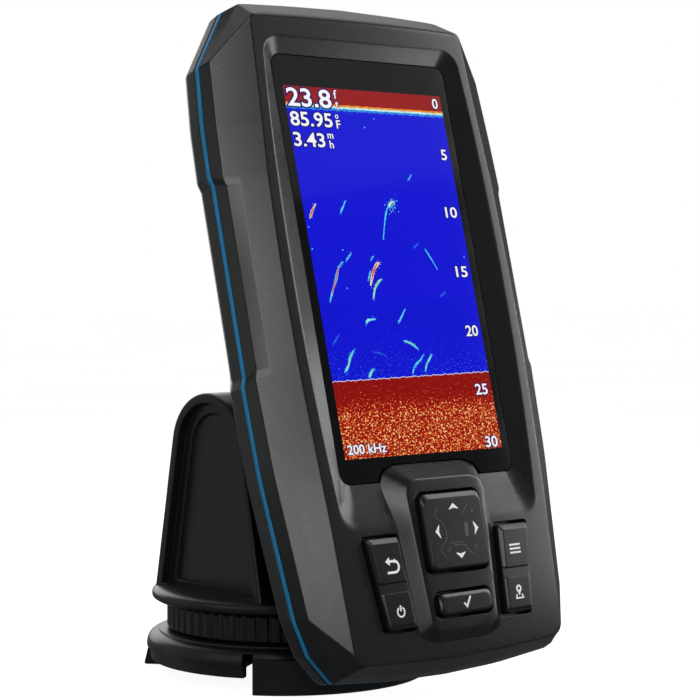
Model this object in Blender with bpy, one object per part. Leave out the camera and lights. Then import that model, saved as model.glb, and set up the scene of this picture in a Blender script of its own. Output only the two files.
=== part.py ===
"""Fish finder on a tilt and swivel mount, built as an assembly.

Sizes are in millimetres and are scaled to metres as each mesh is made.
World: +X to the user's right, +Y away from the user, +Z up, origin on the
swivel axis at the surface that the base rests on.
Face frame, used by the whole display unit: X to the right, Z up the screen,
Y into the unit, origin at the middle of the screen.
"""
from math import asin, atan2, cos, degrees, hypot, pi, radians, sin

import bmesh
import bpy
from mathutils import Vector

MM = 0.001
GAP = 0.3            # clearance kept between neighbouring solids

# Display unit
UNIT_TILT = radians(14.28)      # lean of the screen at rest
SCREEN_WIDTH = 53.9
SCREEN_HEIGHT = 95.0
PARTING_Y = 7.4                 # depth of the line between the two casings
TRIM_THICK = 1.3
FRAME_Y = -2.85                 # flat face of the front frame
LENS_Y = -0.5
EDGE_Y = 3.4                    # where the front chamfer meets the side wall
GRIP_Y = 1.1                    # where the grip facet starts in the chamfer
BACK_Y = 36.9                   # flat back of the rear casing
WALL = 2.4
RIM = 4.8                       # width of the joint face between the casings
INNER_FRONT_Y = 3.3             # inner face of the front wall
KEY_WALL_Y = -0.65              # inner face of the wall behind the keys
KEYPAD_TOP = -62.0
KEYPAD_SLOPE = 0.026            # the keypad leans back from the frame's plane

# Right half of each outline, top to bottom, as (x, z)
PARTING_OUTLINE = [
    (0, 71.3), (20, 70.8), (32.2, 69.6), (36.8, 68.2), (47.4, 52.8), (48.8, 38),
    (49.15, 25.1), (49.15, 22.8), (49.15, 0), (49.15, -24.7), (49.15, -27.1),
    (48.6, -49), (45.2, -83.7), (42.6, -92.6), (37, -99.7), (18, -101.4), (0, -101.9)]
EDGE_OUTLINE = [
    (0, 70.6), (19.5, 70.2), (34.0, 69.5), (38.8, 68.2), (46.8, 53.6), (47.3, 37.6),
    (47.9, 23.8), (47.9, 22.0), (48.0, 0), (47.9, -23.4), (47.9, -25.4),
    (47.0, -49), (42.9, -83.2), (41.0, -91.8), (36.6, -98.5), (17.6, -100.3), (0, -100.8)]
FRAME_OUTLINE = [
    (0, 65.2), (18, 65.1), (31, 64.8), (34.3, 64.4), (36.2, 57), (37.8, 38),
    (38.6, 22.0), (38.7, 20.4), (39.2, 0), (39.2, -21.6), (39.2, -23.2),
    (38.8, -49), (36, -82), (34.4, -88.5), (31.8, -93.2), (16, -94.4), (0, -94.6)]
GRIP_POINTS = (7, 8, 9)         # outline points that the grip facet moves in
GRIP_EDGE_HALF = 47.3
GRIP_PARTING_HALF = 48.3
REAR_SHOULDER_Y = 12.8
REAR_SHOULDER_INSET = 0.5
BACK_WIDTH_RATIO = 0.53
BACK_TOP = 58.0
BACK_BOTTOM = -56.5

RECESS_HALF = 34.25
RECESS_TOP = 59.5
RECESS_BOTTOM = -65.0
RECESS_RADIUS = 5.5
LENS_HALF = 29.85
LENS_TOP = 56.0
LENS_BOTTOM = -53.5
LENS_RADIUS = 3.0
LENS_THICK = 1.5
POCKET_FLOOR_Y = 2.1
WINDOW_HALF = SCREEN_WIDTH / 2 + 0.4
WINDOW_HALF_HEIGHT = SCREEN_HEIGHT / 2 + 0.5

# Raised pod that carries the pad and the select key: right half, top to bottom
POD_FOOT = [(0, -49.6), (11.6, -49.6), (15.6, -51), (17.6, -54.6), (16.1, -66),
            (14, -92.3), (9, -94.4), (0, -94.4)]
POD_TOP = [(0, -54), (9.8, -54), (12.3, -55), (13.4, -57.5), (13, -66),
           (11.3, -90.5), (9, -92), (0, -92.2)]
POD_HEIGHT = 5.2                # above the screen's plane, at the pod's top edge
POD_SLOPE = 0.02
POD_TOP_EDGE = -54.0

# Keys
KEY_GAP = 0.8
KEY_LIP_Y = (0.4, 1.1)          # hidden lip that keeps a key in its hole
PLUNGER_END_Y = 1.5
DOME_Y = (2.05, 2.6)
KEY_BOARD_Y = (2.9, 4.1)
PAD_CENTRE_Z = -67.6
PAD_HOLE = (11.0, 10.3)         # half width, half height
PAD_TOP_Y = -6.6
PAD_DOME_RADIUS = 6.6
SELECT_CENTRE_Z = -85.4
SELECT_HOLE = (9.8, 3.4)
SELECT_TOP_Y = -5.9
ROCKER_HOLE = [(16.5, -66.5), (28.8, -66.5), (25.6, -90.4), (14.7, -90.4)]
ROCKER_AXIS_Z = -79.6
ROCKER_BAR_HALF = 1.0
ROCKER_BAR_Y = -3.0
ROCKER_TOP_Y = (-4.6, -3.7)     # top face, at its upper and lower end
ROCKER_DOMES = ((21.8, -73.2), (20.4, -86.0))
KEY_AXIS_Y = 1.2

# Inside of the display unit
SCREEN_MODULE_HALF = 33.6
SCREEN_MODULE_TOP = 52.0
SCREEN_MODULE_BOTTOM = -53.5
BOARD_HALF = 32.0
BOARD_TOP = 50.0
BOARD_BOTTOM = -58.0
BOARD_Y = (12.5, 14.1)
CHASSIS_Y = (8.5, 9.9)
BOARD_SCREWS = ((29.0, 46.0), (29.0, -52.0))
CASE_SCREWS = ((38.8, 44.0), (38.8, -14.0), (36.5, -66.0))
CASE_BOSS_RADIUS = 3.4
CASE_BOSS_END_Y = 19.0
SOCKET_Z = 32.0
SOCKET_RADIUS = 8.0
SOCKET_END_Y = 44.5

# Cradle, tilt joint and tower
TILT_AXIS_Z = 60.8
AXIS_TO_SCREEN_Y = 52.2         # from the tilt axis to the screen's plane
AXIS_TO_SCREEN_Z = 34.9         # from the tilt axis up the screen to its middle
KNUCKLE_RADIUS = 10.0
KNUCKLE_HALF = 13.7
CRADLE_Y = (37.2, 40.2)
CRADLE_TOP = 10.0
CRADLE_BOTTOM = -52.0
LATCH_AXIS = (43.2, 6.0)        # y, z in the face frame
TOWER_HALF_WIDTH = 27.6
TOWER_SLOT_HALF = 15.0
TOWER_SLOT_FLOOR = 42.0
WELL_RADIUS = 8.6               # lets a driver reach the swivel screw from above
WELL_FLOOR = 13.7
ARCH_RADIUS = 14.8
ARCH_FOOT_HALF = 22.2
ARCH_FOOT_Z = 23.0
BOLT_RADIUS = 2.9

# Swivel base
BASE_RADIUS = 37.6
BASE_TOP = 11.4
STEP_RADIUS = 34.4              # raised ring under the locking ring
STEP_TOP = 11.9
DISC_BOTTOM = 6.5
SKIRT_BOTTOM = 4.0
NECK_OUTER = 25.5
NECK_INNER = 22.2
NECK_TOP = 18.6
HUB_BOSS_RADIUS = 9.0
FOOT_INNER = 30.0
FOOT_OUTER = 37.9               # the feet stand slightly proud of the rim
FOOT_FLARE = 1.9                # the back foot spreads towards the floor
FRONT_FOOT = (212.0, 328.0)     # degrees, anticlockwise from +X
BACK_FOOT = (52.0, 128.0)
SLOT_ANGLES = ((207.8, 212.0), (328.0, 332.2))
RING_OUTER = 32.2
RING_Z = (12.3, 19.3)
RING_RIBS = 60
FLANGE_RADIUS = 36.2
FLANGE_Z = (19.8, 22.8)

ROUND = 32           # sides of a middling round piece
FINE = 48            # sides of the base, the ring and the flange
SMALL = 14           # sides of a screw or a dome


# ---------------------------------------------------------------- scene tools

def clear_scene():
    for obj in list(bpy.data.objects):
        bpy.data.objects.remove(obj, do_unlink=True)


def material(name, colour, roughness, metallic=0.0):
    mat = bpy.data.materials.get(name)
    if mat is None:
        mat = bpy.data.materials.new(name)
        mat.use_nodes = True
        shader = mat.node_tree.nodes["Principled BSDF"]
        shader.inputs["Base Color"].default_value = (*colour, 1.0)
        shader.inputs["Roughness"].default_value = roughness
        shader.inputs["Metallic"].default_value = metallic
        mat.diffuse_color = (*colour, 1.0)
    return mat


def housing_plastic():
    return material("housing_plastic", (0.028, 0.029, 0.031), 0.55)


def key_plastic():
    return material("key_plastic", (0.022, 0.023, 0.025), 0.5)


def mount_plastic():
    return material("mount_plastic", (0.018, 0.019, 0.021), 0.6)


def accent_blue():
    return material("accent_blue", (0.01, 0.13, 0.30), 0.4)


def lens_glass():
    return material("lens_glass", (0.01, 0.01, 0.012), 0.08)


def screen_layer():
    return material("screen_layer", (0.02, 0.02, 0.55), 0.3)


def rubber():
    return material("seal_rubber", (0.015, 0.015, 0.015), 0.85)


def board_green():
    return material("board_green", (0.01, 0.10, 0.04), 0.5)


def steel():
    return material("steel", (0.55, 0.55, 0.56), 0.3, 1.0)


def ceramic():
    return material("ceramic", (0.55, 0.50, 0.42), 0.5)


def empty(name, location, parent=None, rotation=(0, 0, 0)):
    obj = bpy.data.objects.new(name, None)
    bpy.context.collection.objects.link(obj)
    obj.parent = parent
    obj.location = Vector(location) * MM
    obj.rotation_euler = rotation
    return obj


def solid(name, build, mat, parent, origin=(0, 0, 0)):
    """One closed mesh, drawn by build(bm) in its parent's frame, with its own origin."""
    bm = bmesh.new()
    build(bm)
    bmesh.ops.translate(bm, verts=bm.verts, vec=-Vector(origin))
    bmesh.ops.scale(bm, verts=bm.verts, vec=(MM, MM, MM))
    bmesh.ops.recalc_face_normals(bm, faces=bm.faces)
    mesh = bpy.data.meshes.new(name)
    bm.to_mesh(mesh)
    bm.free()
    mesh.shade_smooth()
    mesh.set_sharp_from_angle(angle=radians(32))
    obj = bpy.data.objects.new(name, mesh)
    bpy.context.collection.objects.link(obj)
    obj.parent = parent
    obj.location = Vector(origin) * MM
    if mat is not None:
        mesh.materials.append(mat)
    return obj


def boolean(target, name, build, operation):
    """Cut or join a helper shape, drawn in the target's parent frame."""
    helper = solid(f"{target.name}_{name}", build, None, target.parent)
    helper.hide_render = True
    helper.display_type = "WIRE"
    modifier = target.modifiers.new(name, "BOOLEAN")
    modifier.operation = operation
    modifier.solver = "EXACT"
    modifier.object = helper


def cut(target, name, build):
    boolean(target, name, build, "DIFFERENCE")


def join(target, name, build):
    boolean(target, name, build, "UNION")


# ---------------------------------------------------------------- shape tools

def add_loft(bm, rings, closed=False):
    """Skin rings of equal point count; the ends are capped unless the loft is closed."""
    loops = [[bm.verts.new(point) for point in ring] for ring in rings]
    count = len(loops[0])
    pairs = list(zip(loops, loops[1:]))
    if closed:
        pairs.append((loops[-1], loops[0]))
    for first, second in pairs:
        for i in range(count):
            j = (i + 1) % count
            bm.faces.new((first[i], first[j], second[j], second[i]))
    if not closed:
        bm.faces.new(loops[0])
        bm.faces.new(loops[-1])


def add_prism_y(bm, outline, low, high):
    """Extrude an (x, z) outline along Y."""
    add_loft(bm, [[(x, y, z) for x, z in outline] for y in (low, high)])


def add_prism_x(bm, outline, low, high):
    """Extrude a (y, z) outline along X."""
    add_loft(bm, [[(x, y, z) for y, z in outline] for x in (low, high)])


def add_prism_z(bm, outline, low, high):
    """Extrude an (x, y) outline along Z."""
    add_loft(bm, [[(x, y, z) for x, y in outline] for z in (low, high)])


def add_box(bm, x, y, z):
    add_prism_y(bm, [(x[0], z[0]), (x[1], z[0]), (x[1], z[1]), (x[0], z[1])], y[0], y[1])


def circle(radius, sides, centre=(0.0, 0.0), phase=0.0):
    step = 2 * pi / sides
    return [(centre[0] + radius * cos(phase + step * i), centre[1] + radius * sin(phase + step * i))
            for i in range(sides)]


def add_disc_y(bm, radius, y, centre, sides=SMALL):
    add_prism_y(bm, circle(radius, sides, centre), y[0], y[1])


def add_stack_y(bm, steps, centre, sides=SMALL):
    """A turned solid along Y from (radius, y) steps."""
    add_loft(bm, [[(x, y, z) for x, z in circle(radius, sides, centre)] for radius, y in steps])


def add_tube_y(bm, outer, inner, y, centre, sides=ROUND):
    rings = [(outer, y[0]), (outer, y[1]), (inner, y[1]), (inner, y[0])]
    add_loft(bm, [[(x, depth, z) for x, z in circle(radius, sides, centre)]
                  for radius, depth in rings], closed=True)


def add_turned(bm, profile, sides, closed=True):
    """Turn a profile of (radius, z) points about Z; closed makes a ring."""
    rings = [[(x, y, z) for x, y in circle(radius, sides)] for radius, z in profile]
    add_loft(bm, rings, closed)


def mirrored(half):
    """Whole outline from its right half, as (x, z) points."""
    left = [(-x, z) for x, z in reversed(half[1:-1])]
    return list(half) + left


def rounded_rect(half, low, high, radius, steps=4):
    """Outline with four round corners, clockwise from the top right."""
    points = []
    corners = [(half, high, 90), (half, low, 0), (-half, low, -90), (-half, high, -180)]
    for x, z, start in corners:
        cx = x - radius if x > 0 else x + radius
        cz = z - radius if z == high else z + radius
        for i in range(steps + 1):
            angle = radians(start - 90 * i / steps)
            points.append((cx + radius * cos(angle), cz + radius * sin(angle)))
    return points


def inset(outline, distance):
    """Move every side of a clockwise or anticlockwise outline inwards."""
    count = len(outline)
    area = sum(outline[i][0] * outline[(i + 1) % count][1]
               - outline[(i + 1) % count][0] * outline[i][1] for i in range(count))
    side = 1 if area > 0 else -1
    result = []
    for i in range(count):
        before, here, after = outline[i - 1], outline[i], outline[(i + 1) % count]
        first = Vector((here[0] - before[0], here[1] - before[1])).normalized()
        second = Vector((after[0] - here[0], after[1] - here[1])).normalized()
        normal = Vector((-(first.y + second.y), first.x + second.x)).normalized() * side
        reach = max(0.5, normal.dot(Vector((-first.y, first.x)) * side))
        result.append((here[0] + normal.x * distance / reach,
                       here[1] + normal.y * distance / reach))
    return result


def at_depth(outline, y):
    return [(x, y, z) for x, z in outline]


def add_ring_y(bm, outer, inner, y):
    """A flat ring between two outlines of equal point count."""
    add_loft(bm, [at_depth(outer, y[0]), at_depth(outer, y[1]),
                  at_depth(inner, y[1]), at_depth(inner, y[0])], closed=True)


def with_grip(half, width):
    return [(width, z) if i in GRIP_POINTS else (x, z) for i, (x, z) in enumerate(half)]


def parting_outline():
    return mirrored(with_grip(PARTING_OUTLINE, GRIP_PARTING_HALF))


def edge_outline():
    return mirrored(with_grip(EDGE_OUTLINE, GRIP_EDGE_HALF))


def blended(first, second, share):
    return [(a[0] + (b[0] - a[0]) * share, a[1] + (b[1] - a[1]) * share)
            for a, b in zip(first, second)]


def back_outline():
    """The flat back: the parting outline narrowed and shortened."""
    top, bottom = PARTING_OUTLINE[0][1], PARTING_OUTLINE[-1][1]
    stretch = (BACK_TOP - BACK_BOTTOM) / (top - bottom)
    return [(x * BACK_WIDTH_RATIO, BACK_TOP - (top - z) * stretch) for x, z in parting_outline()]


def both_sides(points):
    return [(side * x, z) for x, z in points for side in (1, -1)]


# ---------------------------------------------------------------- front casing

TRIM_Y = (PARTING_Y - TRIM_THICK / 2, PARTING_Y + TRIM_THICK / 2)
FRONT_END_Y = TRIM_Y[0] - GAP
REAR_START_Y = TRIM_Y[1] + GAP


def draw_front_body(bm):
    share = (GRIP_Y - FRAME_Y) / (EDGE_Y - FRAME_Y)
    grip_ring = mirrored(blended(FRAME_OUTLINE, EDGE_OUTLINE, share))
    add_loft(bm, [at_depth(parting_outline(), FRONT_END_Y), at_depth(edge_outline(), EDGE_Y),
                  at_depth(grip_ring, GRIP_Y), at_depth(mirrored(FRAME_OUTLINE), FRAME_Y)])


def draw_keypad_slope(bm):
    low = -110.0
    clear_y = FRAME_Y - 5.0
    end_y = FRAME_Y + (KEYPAD_TOP - low) * KEYPAD_SLOPE
    add_prism_x(bm, [(FRAME_Y, KEYPAD_TOP), (end_y, low), (clear_y, low), (clear_y, KEYPAD_TOP)],
                -60.0, 60.0)


def draw_screen_recess(bm):
    mouth = rounded_rect(RECESS_HALF, RECESS_BOTTOM, RECESS_TOP, RECESS_RADIUS)
    pocket = rounded_rect(LENS_HALF + GAP, LENS_BOTTOM - GAP, LENS_TOP + GAP, LENS_RADIUS)
    add_loft(bm, [at_depth(mouth, FRAME_Y - 3.0), at_depth(mouth, FRAME_Y),
                  at_depth(pocket, LENS_Y), at_depth(pocket, POCKET_FLOOR_Y)])


def pod_top_y(z):
    return -POD_HEIGHT + (POD_TOP_EDGE - z) * POD_SLOPE


def draw_pod(bm):
    foot = mirrored(POD_FOOT)
    top = mirrored(POD_TOP)
    add_loft(bm, [at_depth(foot, INNER_FRONT_Y - 0.1), at_depth(foot, LENS_Y - 0.1),
                  [(x, pod_top_y(z), z) for x, z in top]])


def draw_front_cavity(bm):
    inner = inset(edge_outline(), RIM - 1.0)
    add_loft(bm, [at_depth(inner, FRONT_END_Y + 1.0), at_depth(inner, INNER_FRONT_Y)])


def draw_window(bm):
    add_box(bm, (-WINDOW_HALF, WINDOW_HALF), (LENS_Y, INNER_FRONT_Y + 1.0),
            (-WINDOW_HALF_HEIGHT, WINDOW_HALF_HEIGHT))


def draw_keypad_pocket(bm):
    add_box(bm, (-31.0, 31.0), (KEY_WALL_Y, INNER_FRONT_Y + 1.0), (-92.2, -55.4))


def pad_hole():
    return rounded_rect(PAD_HOLE[0], PAD_CENTRE_Z - PAD_HOLE[1], PAD_CENTRE_Z + PAD_HOLE[1], 2.5)


def select_hole():
    return rounded_rect(SELECT_HOLE[0], SELECT_CENTRE_Z - SELECT_HOLE[1],
                        SELECT_CENTRE_Z + SELECT_HOLE[1], 2.1)


def rocker_outline(side, shrink=0.0, radius=1.2):
    corners = [(side * x, z) for x, z in ROCKER_HOLE]
    return rounded_corners(inset(corners, shrink), radius)


def rounded_corners(corners, radius, steps=3):
    """Replace each corner of a polygon by a short arc."""
    result = []
    count = len(corners)
    for i in range(count):
        here = Vector(corners[i])
        before = (Vector(corners[i - 1]) - here).normalized()
        after = (Vector(corners[(i + 1) % count]) - here).normalized()
        for k in range(steps + 1):
            share = k / steps
            start = here + before * radius
            end = here + after * radius
            middle = start.lerp(here, share).lerp(here.lerp(end, share), share)
            result.append((middle.x, middle.y))
    return result


def draw_key_holes(bm):
    for outline in (pad_hole(), select_hole(), rocker_outline(1), rocker_outline(-1)):
        add_prism_y(bm, outline, FRAME_Y - 6.0, INNER_FRONT_Y)


def draw_front_bosses(bm):
    for centre in both_sides(CASE_SCREWS):
        add_disc_y(bm, CASE_BOSS_RADIUS, (INNER_FRONT_Y - 0.5, FRONT_END_Y), centre)


def draw_front_boss_holes(bm):
    for centre in both_sides(CASE_SCREWS):
        add_disc_y(bm, 1.3, (2.0, FRONT_END_Y + 1.0), centre)


def make_front_housing(face):
    casing = solid("front_housing", draw_front_body, housing_plastic(), face)
    cut(casing, "keypad_slope", draw_keypad_slope)
    cut(casing, "screen_recess", draw_screen_recess)
    join(casing, "pod", draw_pod)
    cut(casing, "cavity", draw_front_cavity)
    cut(casing, "window", draw_window)
    cut(casing, "keypad_pocket", draw_keypad_pocket)
    cut(casing, "key_holes", draw_key_holes)
    join(casing, "bosses", draw_front_bosses)
    cut(casing, "boss_holes", draw_front_boss_holes)


# ---------------------------------------------------------------- rear casing

def draw_rear_body(bm):
    shoulder = inset(parting_outline(), REAR_SHOULDER_INSET)
    add_loft(bm, [at_depth(parting_outline(), REAR_START_Y),
                  at_depth(shoulder, REAR_SHOULDER_Y),
                  at_depth(back_outline(), BACK_Y)])


def draw_rear_cavity(bm):
    parting = parting_outline()
    add_loft(bm, [at_depth(inset(parting, RIM), REAR_START_Y - 1.0),
                  at_depth(inset(parting, RIM), REAR_START_Y + 2.5),
                  at_depth(inset(parting, WALL + REAR_SHOULDER_INSET), REAR_START_Y + 4.5),
                  at_depth(inset(back_outline(), WALL), BACK_Y - WALL)])


def draw_rear_bosses(bm):
    for centre in both_sides(CASE_SCREWS):
        add_disc_y(bm, CASE_BOSS_RADIUS, (REAR_START_Y, CASE_BOSS_END_Y), centre)


def draw_latch_blocks(bm):
    """Solid pads inside the back wall, for the cradle's hook and latch."""
    for z in ((-55.0, -42.0), (6.6, 18.0)):
        add_box(bm, (-11.0, 11.0), (30.5, BACK_Y - WALL + 0.4), z)


def draw_screw_wells(bm):
    for centre in both_sides(CASE_SCREWS):
        add_stack_y(bm, [(1.3, REAR_START_Y - 1.0), (1.3, 13.5), (2.7, 13.5), (2.7, BACK_Y + 2.0)],
                    centre)


def draw_latch_pockets(bm):
    add_box(bm, (-9.0, 9.0), (33.0, BACK_Y + 1.0), (-49.9, -44.7))
    add_box(bm, (-6.0, 6.0), (33.0, BACK_Y + 1.0), (9.4, 13.6))


def draw_latch_undercuts(bm):
    add_box(bm, (-9.0, 9.0), (33.0, 35.1), (-53.0, -49.0))
    add_box(bm, (-6.0, 6.0), (33.0, 35.3), (13.0, 14.9))


def draw_socket_hole(bm):
    add_disc_y(bm, SOCKET_RADIUS + GAP, (BACK_Y - 6.0, BACK_Y + 1.0), (0, SOCKET_Z), ROUND)


def make_rear_housing(face):
    casing = solid("rear_housing", draw_rear_body, housing_plastic(), face)
    cut(casing, "cavity", draw_rear_cavity)
    join(casing, "bosses", draw_rear_bosses)
    join(casing, "latch_blocks", draw_latch_blocks)
    cut(casing, "screw_wells", draw_screw_wells)
    cut(casing, "latch_pockets", draw_latch_pockets)
    cut(casing, "latch_undercuts", draw_latch_undercuts)
    cut(casing, "socket_hole", draw_socket_hole)


def make_trim_and_seal(face):
    outer = parting_outline()
    trim_inner = inset(outer, 2.4)
    seal_outer = inset(outer, 2.8)
    seal_inner = inset(outer, 4.4)
    solid("accent_trim", lambda bm: add_ring_y(bm, outer, trim_inner, TRIM_Y), accent_blue(), face)
    solid("housing_seal", lambda bm: add_ring_y(bm, seal_outer, seal_inner, TRIM_Y), rubber(), face)


def make_case_screws(face):
    for number, centre in enumerate(both_sides(CASE_SCREWS), start=1):
        def draw(bm, at=centre):
            add_stack_y(bm, [(1.0, 2.4), (1.0, 13.8), (2.3, 13.8), (2.3, 15.6)], at)
        solid(f"case_screw_{number}", draw, steel(), face)


# ---------------------------------------------------------------- screen stack

def lens_outline():
    """Round-cornered pane with a notch at its foot for the pod."""
    notch = [(18.0, LENS_BOTTOM), (15.9, -50.7), (11.8, -49.3)]
    corner_low = arc((LENS_HALF - LENS_RADIUS, LENS_BOTTOM + LENS_RADIUS), LENS_RADIUS, 0, -90)
    corner_high = arc((LENS_HALF - LENS_RADIUS, LENS_TOP - LENS_RADIUS), LENS_RADIUS, 90, 0)
    right = [(0, LENS_TOP)] + corner_high + corner_low + notch + [(0, -49.3)]
    return mirrored(right)


def arc(centre, radius, start, end, steps=4):
    points = []
    for i in range(steps + 1):
        angle = radians(start + (end - start) * i / steps)
        points.append((centre[0] + radius * cos(angle), centre[1] + radius * sin(angle)))
    return points


def make_screen_stack(face):
    lens_back = LENS_Y + LENS_THICK
    solid("display_lens", lambda bm: add_prism_y(bm, lens_outline(), LENS_Y, lens_back),
          lens_glass(), face)
    bond_outer = rounded_rect(LENS_HALF - 0.4, -49.1, LENS_TOP - 0.5, 1.5)
    bond_inner = rounded_rect(WINDOW_HALF + 0.2, -48.2, WINDOW_HALF_HEIGHT + 0.3, 0.5)
    solid("lens_bond", lambda bm: add_ring_y(bm, bond_outer, bond_inner,
                                             (lens_back + GAP, POCKET_FLOOR_Y - GAP)),
          rubber(), face)
    half = SCREEN_MODULE_HALF
    span = (SCREEN_MODULE_BOTTOM, SCREEN_MODULE_TOP)
    solid("lcd_panel", lambda bm: add_box(bm, (-half, half), (3.6, 5.2), span),
          screen_layer(), face)
    solid("backlight", lambda bm: add_box(bm, (-half, half), (5.5, 8.2), span),
          material("backlight_white", (0.7, 0.7, 0.7), 0.4), face)


def make_chassis(face):
    span = (SCREEN_MODULE_BOTTOM - 1.5, SCREEN_MODULE_TOP + 1.5)
    plate = solid("lcd_chassis", lambda bm: add_box(bm, (-34.8, 34.8), CHASSIS_Y, span),
                  steel(), face)

    def draw_posts(bm):
        for centre in both_sides(BOARD_SCREWS):
            add_disc_y(bm, 2.6, (CHASSIS_Y[1] - 0.5, BOARD_Y[0] - GAP), centre)

    def draw_holes(bm):
        for centre in both_sides(BOARD_SCREWS):
            add_disc_y(bm, 1.2, (CHASSIS_Y[0] + 0.5, BOARD_Y[0]), centre)

    join(plate, "posts", draw_posts)
    cut(plate, "post_holes", draw_holes)


def make_boards(face):
    board = solid("main_board",
                  lambda bm: add_box(bm, (-BOARD_HALF, BOARD_HALF), BOARD_Y,
                                     (BOARD_BOTTOM, BOARD_TOP)),
                  board_green(), face)

    def draw_holes(bm):
        for centre in both_sides(BOARD_SCREWS):
            add_disc_y(bm, 1.2, (BOARD_Y[0] - 1, BOARD_Y[1] + 1), centre)

    cut(board, "screw_holes", draw_holes)
    solid("keypad_board", lambda bm: add_box(bm, (-29.5, 29.5), KEY_BOARD_Y, (-91.6, -56.0)),
          board_green(), face)
    for number, centre in enumerate(both_sides(BOARD_SCREWS), start=1):
        def draw_screw(bm, at=centre):
            add_stack_y(bm, [(0.9, CHASSIS_Y[0] + 0.9), (0.9, BOARD_Y[1] + GAP),
                             (2.0, BOARD_Y[1] + GAP), (2.0, BOARD_Y[1] + 1.6)], at)
        solid(f"board_screw_{number}", draw_screw, steel(), face)


def make_board_parts(face):
    on_board = BOARD_Y[1] + GAP
    solid("gps_antenna", lambda bm: add_box(bm, (-12.5, 12.5), (on_board, on_board + 4), (16, 41)),
          ceramic(), face)
    solid("sonar_shield_can",
          lambda bm: add_box(bm, (-26, 4), (on_board, on_board + 3.2), (-26, 8)), steel(), face)
    solid("sonar_transformer",
          lambda bm: add_box(bm, (9, 25), (on_board, on_board + 11), (-22, -4)),
          material("ferrite", (0.05, 0.045, 0.04), 0.6), face)
    solid("buzzer", lambda bm: add_stack_y(bm, [(6, on_board), (6, on_board + 6.5),
                                                (1.4, on_board + 6.5), (1.4, on_board + 7.2)],
                                           (17, -40), 24),
          mount_plastic(), face)


# ---------------------------------------------------------------- keys

def draw_plungers(bm, centres):
    for centre in centres:
        add_disc_y(bm, 1.1, (KEY_LIP_Y[1] - 0.3, PLUNGER_END_Y), centre, 10)


def pad_dome_centres():
    reach = PAD_DOME_RADIUS
    return [(0, PAD_CENTRE_Z + reach), (reach, PAD_CENTRE_Z), (0, PAD_CENTRE_Z - reach),
            (-reach, PAD_CENTRE_Z)]


def key_rings(hole, top_y, slope=0.0, edge=1.3):
    """Rings of a key from its hidden lip to its bevelled top."""
    lip = inset(hole, -0.9)
    body = inset(hole, KEY_GAP)
    top = inset(hole, KEY_GAP + edge)
    highest = max(z for x, z in body)
    return [at_depth(lip, KEY_LIP_Y[1]), at_depth(lip, KEY_LIP_Y[0]),
            at_depth(body, KEY_LIP_Y[0]),
            [(x, top_y + 0.7 + (highest - z) * slope, z) for x, z in body],
            [(x, top_y + (highest - z) * slope, z) for x, z in top]]


def make_pad(face):
    axis = (0, KEY_AXIS_Y, PAD_CENTRE_Z)
    pad = solid("dpad_key", lambda bm: add_loft(bm, key_rings(pad_hole(), PAD_TOP_Y)),
                key_plastic(), face, axis)
    join(pad, "plungers", lambda bm: draw_plungers(bm, pad_dome_centres()))
    solid("dpad_pivot", lambda bm: add_stack_y(bm, [(2.2, 2.6), (2.2, 1.8), (1.4, 1.4)],
                                               (0, PAD_CENTRE_Z), 16),
          key_plastic(), face, axis)


def make_select_key(face):
    centre = (0, SELECT_CENTRE_Z)
    key = solid("select_key", lambda bm: add_loft(bm, key_rings(select_hole(), SELECT_TOP_Y,
                                                                edge=1.0)),
                key_plastic(), face, (0, KEY_AXIS_Y, SELECT_CENTRE_Z))
    join(key, "plunger", lambda bm: draw_plungers(bm, [centre]))


def rocker_part(side, high, low):
    """Outline of one raised key of a rocker, just inside the rocker's own slanted sides."""
    inner = (ROCKER_HOLE[0], ROCKER_HOLE[3])
    outer = (ROCKER_HOLE[1], ROCKER_HOLE[2])
    margin = KEY_GAP + 0.15

    def x_at(edge, z):
        share = (edge[0][1] - z) / (edge[0][1] - edge[1][1])
        return edge[0][0] + (edge[1][0] - edge[0][0]) * share

    corners = [(x_at(inner, high) + margin, high), (x_at(outer, high) - margin, high),
               (x_at(outer, low) - margin, low), (x_at(inner, low) + margin, low)]
    return [(side * x, z) for x, z in corners]


def rocker_top_y(z):
    top, bottom = ROCKER_HOLE[0][1], ROCKER_HOLE[3][1]
    return ROCKER_TOP_Y[0] + (ROCKER_TOP_Y[1] - ROCKER_TOP_Y[0]) * (top - z) / (top - bottom)


def make_rocker(name, side, face):
    body = rocker_outline(side, KEY_GAP, 0.8)
    lip = rocker_outline(side, -0.9, 1.6)
    key = solid(name, lambda bm: add_loft(bm, [at_depth(lip, KEY_LIP_Y[1]),
                                               at_depth(lip, KEY_LIP_Y[0]),
                                               at_depth(body, KEY_LIP_Y[0]),
                                               at_depth(body, ROCKER_BAR_Y)]),
                key_plastic(), face, (0, KEY_AXIS_Y, ROCKER_AXIS_Z))
    top = ROCKER_HOLE[0][1] - KEY_GAP - 0.15
    bottom = ROCKER_HOLE[3][1] + KEY_GAP + 0.15
    halves = ((top, ROCKER_AXIS_Z + ROCKER_BAR_HALF), (ROCKER_AXIS_Z - ROCKER_BAR_HALF, bottom))

    def draw_caps(bm):
        for high, low in halves:
            foot = rocker_part(side, high, low)
            roof = inset(foot, 1.0)
            add_loft(bm, [at_depth(foot, ROCKER_BAR_Y + 0.5),
                          [(x, rocker_top_y(z) + 0.6, z) for x, z in foot],
                          [(x, rocker_top_y(z), z) for x, z in roof]])

    join(key, "caps", draw_caps)
    join(key, "plungers",
         lambda bm: draw_plungers(bm, [(side * x, z) for x, z in ROCKER_DOMES]))


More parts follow.
